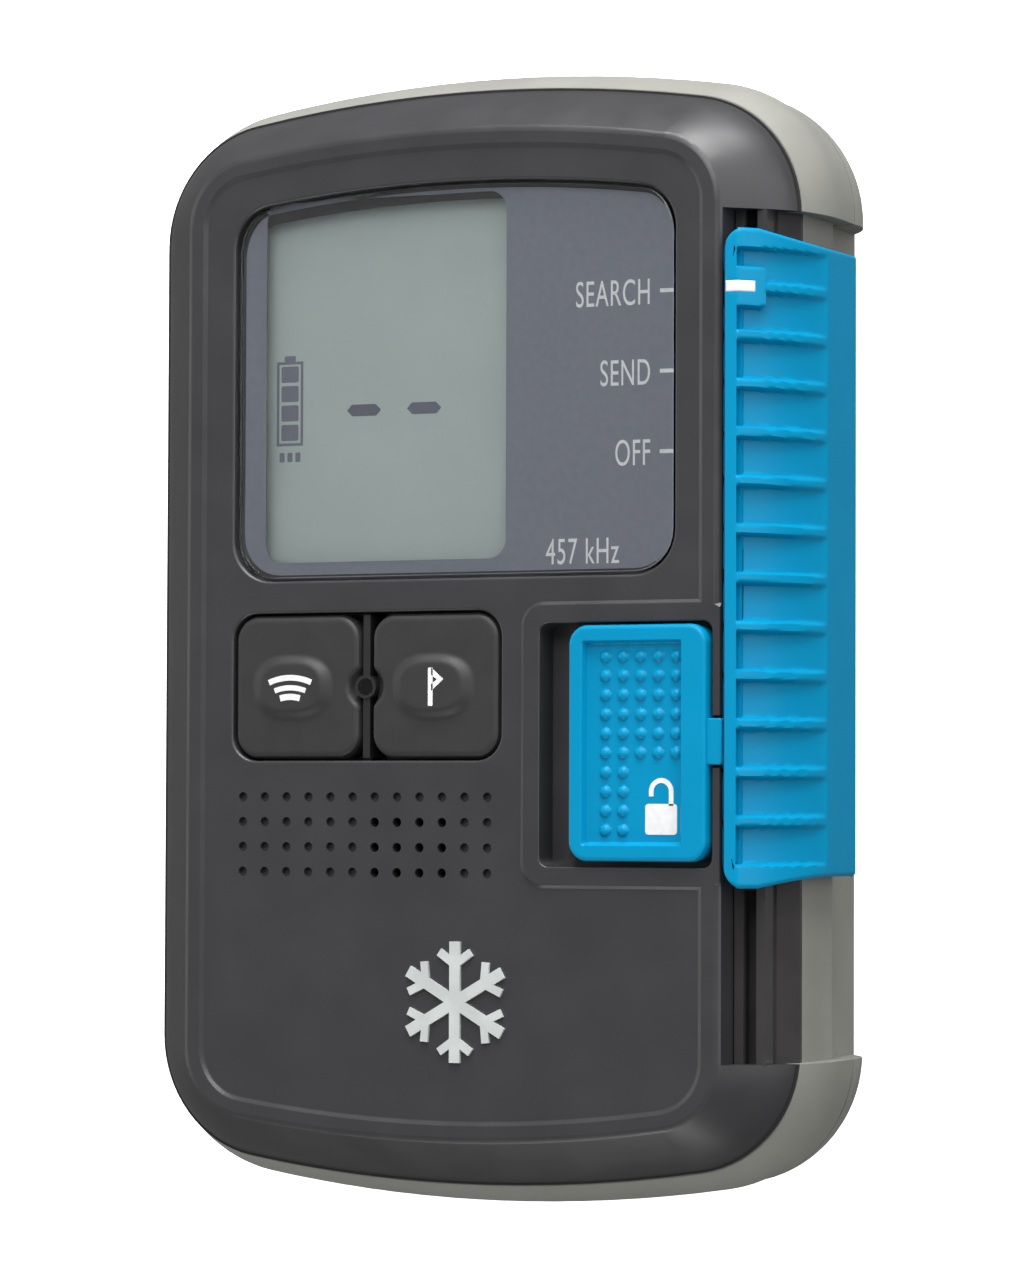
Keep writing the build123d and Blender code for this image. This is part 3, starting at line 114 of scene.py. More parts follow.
def add_piece(name, bm, material, body, replaces=(), sharp_degrees=32):
    """Makes a finished object of a bmesh, and puts it on a body of the frame."""
    mesh = bpy.data.meshes.new(name)
    bm.to_mesh(mesh)
    bm.free()
    mesh.shade_smooth()
    mesh.set_sharp_from_angle(angle=math.radians(sharp_degrees))
    mesh.materials.append(material)
    piece = bpy.data.objects.new(name, mesh)
    bpy.context.scene.collection.objects.link(piece)
    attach(piece, body)
    if replaces:
        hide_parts(*replaces)
    return piece


def merged(name, parts, material, body, replaces=()):
    """One piece made of several bmeshes."""
    whole = bmesh.new()
    for part in parts:
        mesh = bpy.data.meshes.new("part")
        part.to_mesh(mesh)
        part.free()
        whole.from_mesh(mesh)
        bpy.data.meshes.remove(mesh)
    return add_piece(name, whole, material, body, replaces)


def outline_face(bm, x0, x1, y0, y1, z, corner, bow=0.0, segments=8):
    """A flat face with round corners, and a top edge bowed up by a shallow arc."""
    places = ((x0, y0), (x1, y0), (x1, y1 - bow), (x0, y1 - bow))
    verts = [bm.verts.new((x, y, z)) for x, y in places]
    face = bm.faces.new(verts)
    if bow:
        top = next(e for e in face.edges if verts[2] in e.verts and verts[3] in e.verts)
        made = bmesh.ops.subdivide_edges(bm, edges=[top], cuts=15)
        middle = (x0 + x1) / 2
        half = (x1 - x0) / 2
        for item in made["geom_inner"]:
            if isinstance(item, bmesh.types.BMVert):
                item.co.y = y1 - bow * ((item.co.x - middle) / half) ** 2
    if corner:
        corners = [
            v for v in bm.verts
            if any((v.co - Vector((x, y, z))).length < SAME_CORNER for x, y in places)]
        bmesh.ops.bevel(
            bm, geom=corners, offset=corner, offset_type="OFFSET", segments=segments,
            profile=0.5, affect="VERTICES", material=-1)
    return max(bm.faces, key=lambda f: f.calc_area())


def thicken(bm, faces, move):
    """Pulls faces out into a closed solid."""
    made = bmesh.ops.extrude_face_region(bm, geom=faces)
    pulled = [v for v in made["geom"] if isinstance(v, bmesh.types.BMVert)]
    bmesh.ops.translate(bm, verts=pulled, vec=move)
    bmesh.ops.recalc_face_normals(bm, faces=bm.faces)


def soften(bm, edge, segments):
    """Rounds the edges that lie level, which are those of the top and the bottom."""
    rims = [e for e in bm.edges if abs(e.verts[0].co.z - e.verts[1].co.z) < SAME_PLACE]
    bmesh.ops.bevel(
        bm, geom=rims, offset=edge, offset_type="OFFSET", segments=segments, profile=0.5,
        affect="EDGES", material=-1)
    bmesh.ops.recalc_face_normals(bm, faces=bm.faces)


def open_edges(bm):
    return [e for e in bm.edges if e.is_boundary]


def face_up(bm):
    """Turns an open surface's faces the same way, upwards."""
    bmesh.ops.recalc_face_normals(bm, faces=bm.faces)
    if sum(f.normal.z for f in bm.faces) < 0:
        bmesh.ops.reverse_faces(bm, faces=bm.faces)


def slab(x0, x1, y0, y1, z0, z1, corner, edge=0.0, bow=0.0):
    """A plate with round corners and softened top and bottom edges."""
    bm = bmesh.new()
    thicken(bm, [outline_face(bm, x0, x1, y0, y1, z0, corner, bow)], (0, 0, z1 - z0))
    if edge:
        soften(bm, edge, 3)
        # A narrow border round the two flat sides keeps their shading flat.
        flats = sorted(bm.faces, key=lambda f: f.calc_area())[-2:]
        bmesh.ops.inset_individual(bm, faces=flats, thickness=edge * 0.4)
    return bm


def peg(centre, radius, z0, z1, edge, segments=48):
    """An upright round peg with softened ends."""
    bm = bmesh.new()
    bmesh.ops.create_circle(bm, cap_ends=True, segments=segments, radius=radius)
    thicken(bm, bm.faces[:], (0, 0, z1 - z0))
    soften(bm, edge, 2)
    bmesh.ops.translate(bm, verts=bm.verts, vec=(centre[0], centre[1], z0))
    return bm


def relief(x0, x1, y0, y1, step, corner, height, base_z):
    """A moulded top surface on a fine grid, with round corners and straight sides down to base_z."""
    bm = bmesh.new()
    columns = max(4, round((x1 - x0) / step))
    rows = max(4, round((y1 - y0) / step))
    bmesh.ops.create_grid(bm, x_segments=columns, y_segments=rows, size=0.5)
    half_x, half_y = (x1 - x0) / 2, (y1 - y0) / 2
    centre_x, centre_y = (x0 + x1) / 2, (y0 + y1) / 2
    for vert in bm.verts:
        x, y = vert.co.x * (x1 - x0), vert.co.y * (y1 - y0)
        over_x, over_y = abs(x) - (half_x - corner), abs(y) - (half_y - corner)
        edge = min(half_x - abs(x), half_y - abs(y))
        if over_x > 0 and over_y > 0:
            shrink = max(over_x, over_y) / math.hypot(over_x, over_y)
            x = math.copysign(half_x - corner + over_x * shrink, x)
            y = math.copysign(half_y - corner + over_y * shrink, y)
            edge = corner - max(over_x, over_y)
        x += centre_x
        y += centre_y
        vert.co = (x, y, height(x, y, edge))
    made = bmesh.ops.extrude_edge_only(bm, edges=open_edges(bm))
    for item in made["geom"]:
        if isinstance(item, bmesh.types.BMVert):
            item.co.z = base_z
    bmesh.ops.holes_fill(bm, edges=open_edges(bm), sides=0)
    bmesh.ops.recalc_face_normals(bm, faces=bm.faces)
    return bm


def arc_strip(centre, radius, width, z0, z1, start, end):
    """A flat strip bent round an arc, from a start angle to an end angle in degrees."""
    bm = bmesh.new()
    lo, hi = radius - width / 2, radius + width / 2
    verts = [bm.verts.new(p) for p in ((lo, 0, z0), (hi, 0, z0), (hi, 0, z1), (lo, 0, z1))]
    face = bm.faces.new(verts)
    bmesh.ops.rotate(bm, verts=verts, cent=(0, 0, 0), matrix=Matrix.Rotation(math.radians(start), 3, "Z"))
    bmesh.ops.spin(
        bm, geom=[face], cent=(0, 0, 0), axis=(0, 0, 1), angle=math.radians(end - start), steps=16,
        use_merge=False, use_duplicate=False)
    bmesh.ops.holes_fill(bm, edges=open_edges(bm), sides=4)
    bmesh.ops.recalc_face_normals(bm, faces=bm.faces)
    bmesh.ops.translate(bm, verts=bm.verts, vec=(centre[0], centre[1], 0))
    return bm


def prism(points, z0, z1):
    """A flat shape given by its corners, between two heights."""
    bm = bmesh.new()
    thicken(bm, [bm.faces.new([bm.verts.new((x, y, z0)) for x, y in points])], (0, 0, z1 - z0))
    return bm


def lettering(name, words, right_x, y, z, height, narrow, material, body):
    """Printed words that end at right_x, as a thin mesh."""
    curve = bpy.data.curves.new(name, "FONT")
    curve.body = words
    curve.align_x = "RIGHT"
    curve.size = height / 0.7
    curve.extrude = 0.008 * MM
    curve.space_character = 1.08
    holder = bpy.data.objects.new(name + "_outline", curve)
    bpy.context.scene.collection.objects.link(holder)
    bpy.context.view_layer.update()
    mesh = bpy.data.meshes.new_from_object(holder)
    bpy.data.objects.remove(holder)
    bpy.data.curves.remove(curve)
    bm = bmesh.new()
    bm.from_mesh(mesh)
    bpy.data.meshes.remove(mesh)
    bmesh.ops.scale(bm, verts=bm.verts, vec=(narrow, 1, 1))
    bmesh.ops.translate(bm, verts=bm.verts, vec=(right_x, y, z))
    return add_piece(name, bm, material, body)


# ---- materials ----

class Finish:
    """A procedural material, with short calls for the nodes it is built from."""

    def __init__(self, name):
        self.material = bpy.data.materials.new(name + FINISH_END)
        self.material.use_nodes = True
        self.nodes = self.material.node_tree.nodes
        self.links = self.material.node_tree.links
        self.shader = self.nodes["Principled BSDF"]
        self.place = self.nodes.new("ShaderNodeTexCoord").outputs["Object"]

    def wire(self, node, **values):
        """Sets or links a node's inputs by name, with _ for a space."""
        for name, value in values.items():
            socket = node.inputs[name.replace("_", " ")]
            if isinstance(value, bpy.types.NodeSocket):
                self.links.new(value, socket)
            else:
                socket.default_value = value
        return node

    def node(self, kind, **values):
        return self.wire(self.nodes.new("ShaderNode" + kind), **values)

    def set(self, **values):
        self.wire(self.shader, **values)

    def mapped(self, scale):
        return self.node("Mapping", Vector=self.place, Scale=scale).outputs["Vector"]

    def noise(self, size, detail=3.0, vector=None):
        node = self.node("TexNoise", Vector=vector or self.place, Scale=1 / size, Detail=detail)
        return node.outputs["Fac"]

    def cells(self, size):
        return self.node("TexVoronoi", Vector=self.place, Scale=1 / size).outputs["Distance"]

    def waves(self, size, direction, distortion=0.0):
        node = self.node("TexWave", Vector=self.place, Scale=WAVE_PERIOD / size, Distortion=distortion)
        node.bands_direction = direction
        return node.outputs["Fac"]

    def math(self, operation, first, second):
        node = self.node("Math")
        node.operation = operation
        for socket, value in zip(node.inputs, (first, second)):
            if isinstance(value, bpy.types.NodeSocket):
                self.links.new(value, socket)
            else:
                socket.default_value = value
        return node.outputs["Value"]

    def mix(self, share, first, second):
        node = self.node("MixShader", Fac=share)
        self.links.new(first, node.inputs[1])
        self.links.new(second, node.inputs[2])
        return node.outputs["Shader"]

    def ramp(self, factor, stops, eased=True):
        node = self.node("ValToRGB", Fac=factor)
        node.color_ramp.interpolation = "EASE" if eased else "CONSTANT"
        for element, (position, colour) in zip(node.color_ramp.elements, stops):
            element.position = position
            element.color = (*colour, 1)
        return node.outputs["Color"]

    def mottle(self, colour, spread, size):
        """Base colour that drifts a little lighter and darker over the surface."""
        dark = [c * (1 - spread) for c in colour]
        light = [min(c * (1 + spread), 1) for c in colour]
        self.set(Base_Color=self.ramp(self.noise(size, 4), [(0.3, dark), (0.7, light)]))

    def vary_roughness(self, low, high, size, vector=None):
        spots = self.noise(size, 5, vector)
        node = self.node("MapRange", Value=spots, From_Min=0.3, From_Max=0.7, To_Min=low, To_Max=high)
        self.set(Roughness=node.outputs["Result"])

    def bump(self, height, depth, strength=1.0, **over):
        """Relief of a depth, over another relief where one is given as Normal."""
        node = self.node("Bump", Height=height, Distance=depth, Strength=strength, **over)
        self.set(Normal=node.outputs["Normal"])
        return node.outputs["Normal"]


def made_finish(name):
    """A finish that an earlier operator has made."""
    return bpy.data.materials[name + FINISH_END]


def moulded(name, colour, low, high, grain=0.22 * MM, depth=0.006 * MM, spread=0.05, **values):
    """Moulded plastic: a fine spark-eroded grain, faint flow marks and handling shine."""
    finish = Finish(name)
    finish.mottle(colour, spread, 9 * MM)
    finish.vary_roughness(low, high, 6 * MM)
    fine = finish.bump(finish.noise(grain, 2), depth)
    finish.bump(finish.noise(14 * MM, 1), 0.03 * MM, 0.5, Normal=fine)
    finish.set(**values)
    return finish.material


def polished(name, colour, low=0.12, high=0.2):
    """Polished plastic with hairline scratches along Y."""
    finish = Finish(name)
    finish.mottle(colour, 0.1, 5 * MM)
    scratches = finish.mapped((1, 0.04, 1))
    finish.vary_roughness(low, high, 0.8 * MM, scratches)
    finish.bump(finish.noise(0.25 * MM, 3, scratches), 0.002 * MM)
    return finish.material


def soft_rubber(name, colour):
    """Silicone rubber with a fine matt grain and a little dust sheen."""
    finish = Finish(name)
    finish.mottle(colour, 0.08, 4 * MM)
    finish.vary_roughness(0.5, 0.62, 2.5 * MM)
    finish.bump(finish.cells(0.16 * MM), 0.004 * MM)
    finish.set(Sheen_Weight=0.06, Sheen_Roughness=0.4)
    return finish.material


def worked_metal(
        name, colour, roughness=0.3, stretch=(1, 1, 14), grain=0.12 * MM, depth=0.002 * MM, metallic=1.0):
    """Metal with fine lines of its working and a faint change of tone."""
    finish = Finish(name)
    finish.mottle(colour, 0.07, 3 * MM)
    lines = finish.mapped(stretch)
    finish.vary_roughness(roughness - 0.08, roughness + 0.1, 0.5 * MM, lines)
    finish.bump(finish.noise(grain, 3, lines), depth)
    finish.set(Metallic=metallic)
    return finish.material


def printed_ink(name, colour, roughness=0.45):
    """Screen-printed ink, very slightly uneven."""
    finish = Finish(name)
    finish.mottle(colour, 0.04, 0.8 * MM)
    finish.vary_roughness(roughness - 0.05, roughness + 0.08, 0.4 * MM)
    finish.bump(finish.noise(0.08 * MM, 2), 0.001 * MM)
    return finish.material


def clear_window(name, tint):
    """Hard-coated clear plastic with faint wiping marks."""
    finish = Finish(name)
    finish.set(Base_Color=(*tint, 1), Transmission_Weight=1.0, IOR=1.49)
    finish.vary_roughness(0.0, 0.035, 7 * MM)
    finish.bump(finish.noise(9 * MM, 1), 0.004 * MM)
    return finish.material


def display_face(name, colour):
    """The reflective back of a passive display."""
    finish = Finish(name)
    finish.mottle(colour, 0.03, 14 * MM)
    finish.vary_roughness(0.35, 0.42, 5 * MM)
    finish.bump(finish.noise(0.1 * MM, 2), 0.0015 * MM)
    return finish.material


def winding(name, colour, direction):
    """Enamelled wire laid in turns, with painted shade darkening the groove between each turn and the next.
    """
    finish = Finish(name)
    turns = finish.waves(0.3 * MM, direction, 0.3)
    # Each turn's dark band is painted shade, standing for the groove between neighbouring turns.
    dark = [c * 0.35 for c in colour]
    finish.set(Base_Color=finish.ramp(turns, [(0.1, dark), (0.6, colour)]), Metallic=0.85)
    finish.bump(turns, 0.08 * MM)
    finish.vary_roughness(0.22, 0.34, 2 * MM)
    return finish.material


def laminate(name, colour):
    """Solder mask over copper tracks."""
    finish = Finish(name)
    brick = finish.node(
        "TexBrick", Vector=finish.place, Scale=1 / (6 * MM), Mortar_Size=0.035, Color1=(*colour, 1),
        Color2=(*(c * 0.82 for c in colour), 1), Mortar=(*(min(c * 1.9, 1) for c in colour), 1))
    finish.set(Base_Color=brick.outputs["Color"])
    finish.bump(brick.outputs["Fac"], 0.03 * MM)
    finish.vary_roughness(0.25, 0.4, 3 * MM)
    return finish.material


def woven(name, colour):
    """Acoustic cloth: a plain weave."""
    finish = Finish(name)
    across = finish.waves(0.18 * MM, "X")
    along = finish.waves(0.18 * MM, "Y")
    finish.bump(finish.math("MULTIPLY", across, along), 0.05 * MM)
    finish.mottle(colour, 0.1, 1 * MM)
    finish.vary_roughness(0.75, 0.9, 1 * MM)
    return finish.material


def sleeve(name, colour, band):
    """The printed film round a cell, with a coloured band at one end."""
    finish = Finish(name)
    stripes = finish.ramp(finish.waves(24 * MM, "Y"), [(0.0, colour), (0.72, band)], False)
    finish.vary_roughness(0.18, 0.3, 4 * MM)
    finish.bump(finish.noise(3 * MM, 2), 0.01 * MM)
    finish.set(Base_Color=stripes, Coat_Weight=0.4)
    return finish.material


def dress(finishes):
    """Gives each CAD node its finish: a material, or the name of one made before."""
    for node, finish in finishes.items():
        slots = frame["nodes"][node].data.materials
        for index in range(len(slots)):
            slots[index] = made_finish(finish) if isinstance(finish, str) else finish


# ---- settings ----

def length(name, description, default, low=0.0):
    return bpy.props.FloatProperty(
        name=name, description=description, default=default, min=low, unit="LENGTH", subtype="DISTANCE")


def colour(name, description, code):
    return bpy.props.FloatVectorProperty(
        name=name, description=description, default=linear(code), subtype="COLOR", size=3, min=0, max=1)


def angle(name, description, degrees):
    return bpy.props.FloatProperty(
        name=name, description=description, default=math.radians(degrees), subtype="ANGLE")


def group(kind, name, description):
    return bpy.props.PointerProperty(type=kind, name=name, description=description)


class CaseSettings(bpy.types.PropertyGroup):
    cover: colour("Front cover", "Colour of the front cover", "303032")
    band: colour("Band", "Colour of the band and the rear cover", "85857f")
    metal: colour("Metal", "Colour of screws and eye", "b9b9b8")


class DisplaySettings(bpy.types.PropertyGroup):
    mask: colour("Mask", "Colour printed round the display", "777a85")
    face: colour("Display", "Colour of the display", "afbbb5")
    segment: colour("Segments", "Colour of the dark segments", "61646f")
    gauge: colour("Gauge", "Colour of the battery gauge", "71747e")
    print_ink: colour("Lettering", "Colour of the scale", "e6e6e6")
    letter_height: length("Letter height", "Height of the scale's letters", 2.65 * MM)
    tick_length: length("Tick length", "Length of the scale's ticks", 1.7 * MM)


class ControlSettings(bpy.types.PropertyGroup):
    blue: colour("Blue", "Colour of the slider and the lock", "0083ae")
    key: colour("Keys", "Colour of the two keys", "242323")
    icon: colour("Icons", "Colour of the printed icons", "dcdcdc")
    pocket_depth: length("Pocket depth", "Depth of the finger pockets in the slider", 1.25 * MM)
    rib_pitch: length("Rib pitch", "Distance between the slider's ribs", 4.86 * MM)
    rib_width: length("Rib width", "Thickness of a rib", 0.9 * MM)
    strip_width: length("Strip width", "Width of the flat strip beside the ribs", 1.6 * MM)
    bump_pitch: length("Bump pitch", "Distance between the lock's bumps", 1.95 * MM)
    dome_height: length("Key dome", "Height of the dome on a key", 0.6 * MM)


class StageSettings(bpy.types.PropertyGroup):
    floor: colour("Floor", "Colour of the floor", "ffffff")
    yaw: angle("Yaw", "Angle of the view towards the slider's side", 26.152)
    pitch: angle("Pitch", "Angle of the view towards the top end", -2.069)
    roll: angle("Roll", "Turn of the view about its own axis", 0.208)
    distance: length("Distance", "Distance of the camera", 498.97 * MM)
    lens: bpy.props.FloatProperty(
        name="Lens", description="Focal length in millimetres", default=133.28, min=10)


class TransceiverSettings(bpy.types.PropertyGroup):
    case: group(CaseSettings, "Case", "The case")
    display: group(DisplaySettings, "Display", "The display")
    controls: group(ControlSettings, "Controls", "Slider, lock and keys")
    stage: group(StageSettings, "Stage", "Camera and floor")


# ---- case ----

class MakeCase(bpy.types.Operator):
    """Finishes the covers, the band and the seals"""
    bl_idname = "transceiver.make_case"
    bl_label = "Case"
    bl_options = {"REGISTER", "UNDO"}

    def execute(self, context):
        case = context.scene.transceiver.case
        cover = moulded("cover_charcoal", case.cover, 0.3, 0.42)
        grey = moulded("case_grey", case.band, 0.42, 0.55, grain=0.3 * MM, depth=0.012 * MM)
        seal = soft_rubber("seal_black", linear("0b0b0b"))
        dress({
            "front_cover": cover, "mid_band": grey, "rear_cover": grey, "battery_door": grey,
            "front_seal": seal, "rear_seal": seal, "door_seal": seal, "motor_holder": seal,
        })
        return {"FINISHED"}


class MakeFasteners(bpy.types.Operator):
    """Finishes the screws, their inserts and the lanyard eye"""
    bl_idname = "transceiver.make_fasteners"
    bl_label = "Fasteners"
    bl_options = {"REGISTER", "UNDO"}

    def execute(self, context):
        case = context.scene.transceiver.case
        steel = worked_metal("screw_steel", case.metal, 0.28)
        blasted = worked_metal("eye_steel", linear("a8a8a6"), 0.45, (1, 1, 1), 0.15 * MM, 0.006 * MM)
        brass = worked_metal("insert_brass", linear("c9a04e"), 0.3)
        dress({
            "case_screws": steel, "board_screws": steel, "door_screw": steel, "lanyard_eye": blasted,
            "case_inserts": brass, "door_insert": brass,
        })
        return {"FINISHED"}


# ---- display ----

class MakeDisplay(bpy.types.Operator):
    """Makes the lens, the printed mask behind it, the scale and the display's segments"""
    bl_idname = "transceiver.make_display"
    bl_label = "Display"
    bl_options = {"REGISTER", "UNDO"}
    window_corner = 2.0 * MM
    lens_corner = 4.2 * MM
    end_arc = 160 * MM
    border = 1.5 * MM
    mask_inset = 0.35 * MM
    mask_thickness = 0.06 * MM
    segment_thickness = 0.03 * MM
    # Dashes and gauge, in millimetres from the glass's lower left corner.
    dash_y = 17.4
    dash_centres = (12.35, 19.4)
    dash_outline = ((-2.0, 0), (-1.35, -0.62), (1.45, -0.62), (2.0, 0), (1.35, 0.62), (-1.45, 0.62))
    gauge_sides = (1.95, 5.1, 13.9, 22.8)
    gauge_line = 0.3

    def execute(self, context):
        display = context.scene.transceiver.display
        lens_lo, lens_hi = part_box("display_lens")
        glass_lo, glass_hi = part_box("lcd_glass")
        bow = ((lens_hi.x - lens_lo.x) / 2) ** 2 / (2 * self.end_arc)
        clear = clear_window("lens_window", (0.96, 0.97, 0.985))
        lens = slab(
            lens_lo.x, lens_hi.x, lens_lo.y, lens_hi.y, lens_lo.z + 0.1 * MM, lens_hi.z,
            self.lens_corner, 0.15 * MM, bow)
        add_piece("display_lens_window", lens, clear, "case", ["display_lens"])
        self.make_mask(display, lens_lo, lens_hi, glass_lo, glass_hi, bow)
        self.make_scale(display, lens_lo, lens_hi)
        self.make_segments(display, glass_lo, glass_hi)
        dress({
            "lcd_glass": display_face("lcd", display.face),
            "lens_gasket": soft_rubber("glue_tape", linear("101010")),
            "lcd_backlight": moulded("white_plastic", linear("e8e8e4"), 0.35, 0.5),
            "lcd_contacts": soft_rubber("zebra_rubber", linear("7a7a7a")),
            "lcd_holder": moulded("frame_black", linear("1a1a1b"), 0.4, 0.5),
        })
        return {"FINISHED"}

    def make_mask(self, display, lens_lo, lens_hi, glass_lo, glass_hi, bow):
        """A thin print with a hole for the display, on the back of the lens."""
        lens = (lens_lo.x + self.mask_inset, lens_hi.x - self.mask_inset,
                lens_lo.y + self.mask_inset, lens_hi.y - self.mask_inset)
        hole = (glass_lo.x + self.border, glass_hi.x - self.border,
                glass_lo.y + self.border, glass_hi.y - self.border)
        bm = bmesh.new()
        # The fill works in millimetres, because its smallest step is too coarse for metres.
        outline_face(bm, *(side / MM for side in lens), 0, self.lens_corner / MM, bow / MM)
        outline_face(bm, *(side / MM for side in hole), 0, self.window_corner / MM)
        bmesh.ops.delete(bm, geom=bm.faces[:], context="FACES_ONLY")
        made = bmesh.ops.triangle_fill(
            bm, edges=bm.edges[:], use_beauty=True, use_dissolve=False, normal=(0, 0, 1))
        bmesh.ops.scale(bm, verts=bm.verts, vec=(MM, MM, MM))
        bmesh.ops.translate(bm, verts=bm.verts, vec=(0, 0, lens_lo.z))
        faces = [f for f in made["geom"] if isinstance(f, bmesh.types.BMFace)]
        thicken(bm, faces, (0, 0, self.mask_thickness))
        add_piece("lens_mask", bm, printed_ink("mask_ink", display.mask, 0.4), "case")

    def make_scale(self, display, lens_lo, lens_hi):
        """Words and ticks for the slider's three stops."""
        ink = printed_ink("scale_ink", display.print_ink)
        z = lens_lo.z + 0.075 * MM
        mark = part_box("index_mark")
        top_y = (mark[0].y + mark[1].y) / 2
        travel = next(j for j in frame["joints"] if j["name"] == "mode_slide")["range_m"][1]
        tick_x1 = lens_hi.x - 0.12 * MM
        tick_x0 = tick_x1 - display.tick_length
        ticks = []
        for index, word in enumerate(("SEARCH", "SEND", "OFF")):
            y = top_y + 0.15 * MM - index * travel / 2
            ticks.append(slab(
                tick_x0, tick_x1, y - 0.2 * MM, y + 0.2 * MM, z - 0.008 * MM, z + 0.008 * MM, 0))
            lettering(
                "word_" + word.lower(), word, tick_x0 - 1.0 * MM, y - display.letter_height / 2, z,
                display.letter_height, 0.58, ink, "case")
        merged("scale_ticks", ticks, ink, "case")
        lettering(
            "word_band", "457 kHz", lens_hi.x - 6.3 * MM, lens_lo.y + 0.9 * MM, z,
            display.letter_height, 0.6, ink, "case")

    def make_segments(self, display, glass_lo, glass_hi):
        """Two dashes and the battery gauge, standing a hair above the display's back."""
        left, low = glass_lo.x, glass_lo.y
        z0, z1 = glass_hi.z, glass_hi.z + self.segment_thickness
        outline = self.dash_outline
        dashes = [
            prism([(left + (centre + x) * MM, low + (self.dash_y + y) * MM) for x, y in outline], z0, z1)
            for centre in self.dash_centres]
        merged("display_dashes", dashes, printed_ink("segment_ink", display.segment, 0.4), "case")
        x0, x1, y0, y1 = self.gauge_sides
        line = self.gauge_line
        levels = [y0 + 0.55 + 2.05 * index for index in range(4)]
        dots = [x0 + 0.35 + 0.95 * index for index in range(3)]
        bars = [(x0 + 0.55, x1 - 0.55, level, level + 1.7, 0.2) for level in levels]
        bars += [
            (x0, x0 + line, y0, y1, 0), (x1 - line, x1, y0, y1, 0),
            (x0 + line, x1 - line, y1 - line, y1, 0), (x0 + line, x1 - line, y0, y0 + line, 0),
            (x0 + 0.9, x1 - 0.9, y1, y1 + 0.6, 0.15)]
        bars += [(dot, dot + 0.6, y0 - 1.7, y0 - 0.7, 0.12) for dot in dots]
        gauge = [
            slab(left + a * MM, left + b * MM, low + c * MM, low + d * MM, z0, z1, corner * MM)
            for a, b, c, d, corner in bars]
        merged("display_gauge", gauge, printed_ink("gauge_ink", display.gauge, 0.4), "case")


# ---- keys ----

class MakeKeys(bpy.types.Operator):
    """Makes the two rubber keys with their domes and icons, and the lamp between them"""
    bl_idname = "transceiver.make_keys"
    bl_label = "Keys"
    bl_options = {"REGISTER", "UNDO"}
    flange = 0.9 * MM
    corner = 2.55 * MM
    dome_width = 9.3 * MM
    dome_length = 6.6 * MM

    def execute(self, context):
        controls = context.scene.transceiver.controls
        rubber = soft_rubber("key_rubber", controls.key)
        ink = printed_ink("icon_ink", controls.icon)
        icons = {"search_key": (self.wave_icon, -0.5 * MM), "mark_key": (self.flag_icon, -0.2 * MM)}
        for node, (icon, shift) in icons.items():
            x0, x1, y0, y1 = self.cap(node)
            middle = (x0 + x1) / 2 + shift
            top = self.make_key(node, x0, x1, y0, y1, middle, controls, rubber)
            parts = icon(middle, self.lamp_y(), top)
            merged(node + "_icon", parts, ink, node + "_body")
        dress({
            "key_plate": "frame_black",
            "key_switches": moulded("switch_body", linear("2a2a2c"), 0.35, 0.45),
            "light_pipe": clear_window("clear_acrylic", (0.7, 0.7, 0.7)),
            "status_led": moulded("led_body", linear("e6dfb4"), 0.2, 0.3),
        })
        return {"FINISHED"}

    def lamp_y(self):
        lo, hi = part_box("light_pipe")
        return (lo.y + hi.y) / 2

    def cap(self, node):
        """The key's top without the flange that holds it under the cover."""
        lo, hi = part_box(node)
        x0 = lo.x + (self.flange if node == "search_key" else 0)
        x1 = hi.x - (self.flange if node == "mark_key" else 0)
        return x0, x1, lo.y + self.flange, hi.y - self.flange

    def make_key(self, node, x0, x1, y0, y1, middle, controls, rubber):
        lo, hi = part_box(node)
        dome = controls.dome_height
        cap_z = hi.z - dome
        lamp_lo, lamp_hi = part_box("light_pipe")
        lamp_x = (lamp_lo.x + lamp_hi.x) / 2
        lamp_y = self.lamp_y()

        def height(x, y, edge):
            across = abs(x - middle) / (self.dome_width / 2)
            along = abs(y - lamp_y) / (self.dome_length / 2)
            rise = 1 - smooth((across ** 2.6 + along ** 2.6) ** (1 / 2.6), 0.72, 1.04)
            away = math.hypot(x - lamp_x, y - lamp_y)
            dip = 1 - smooth(away, 1.5 * MM, 2.3 * MM)
            return cap_z + dome * rise - roll_off(edge, 0.7 * MM) - 0.9 * MM * dip
        cap = relief(x0, x1, y0, y1, 0.2 * MM, self.corner, height, lo.z + 1.8 * MM)
        skirt = slab(lo.x, hi.x, lo.y, hi.y, lo.z + 1.8 * MM, lo.z + 2.6 * MM, 1.5 * MM, 0.15 * MM)
        stem = peg(((x0 + x1) / 2, lamp_y), 2.0 * MM, lo.z, lo.z + 1.9 * MM, 0.2 * MM)
        merged(node + "_cap", [cap, skirt, stem], rubber, node + "_body", [node])
        return hi.z

    def wave_icon(self, x, y, z):
        """Three arcs over each other, the widest on top."""
        parts = []
        centre_y = y - 5.4 * MM
        for radius, width, half in ((6.4, 0.6, 23), (5.35, 0.55, 20), (4.4, 0.65, 15.5)):
            parts.append(arc_strip(
                (x, centre_y), radius * MM, width * MM, z - 0.02 * MM, z + 0.03 * MM, 90 - half, 90 + half))
        return parts

    def flag_icon(self, x, y, z):
        """A pennant on a staff."""
        low, high = z - 0.02 * MM, z + 0.03 * MM
        staff = slab(x - 0.27 * MM, x + 0.27 * MM, y - 2.05 * MM, y + 1.9 * MM, low, high, 0.12 * MM)
        corners = ((0.1, 1.9), (0.1, 1.15), (0.75, 0.68), (0.1, 0.2), (0.1, -0.5), (1.5, 0.7))
        flag = prism([(x + across * MM, y + along * MM) for across, along in corners], low, high)
        return [staff, flag]


# ---- speaker ----

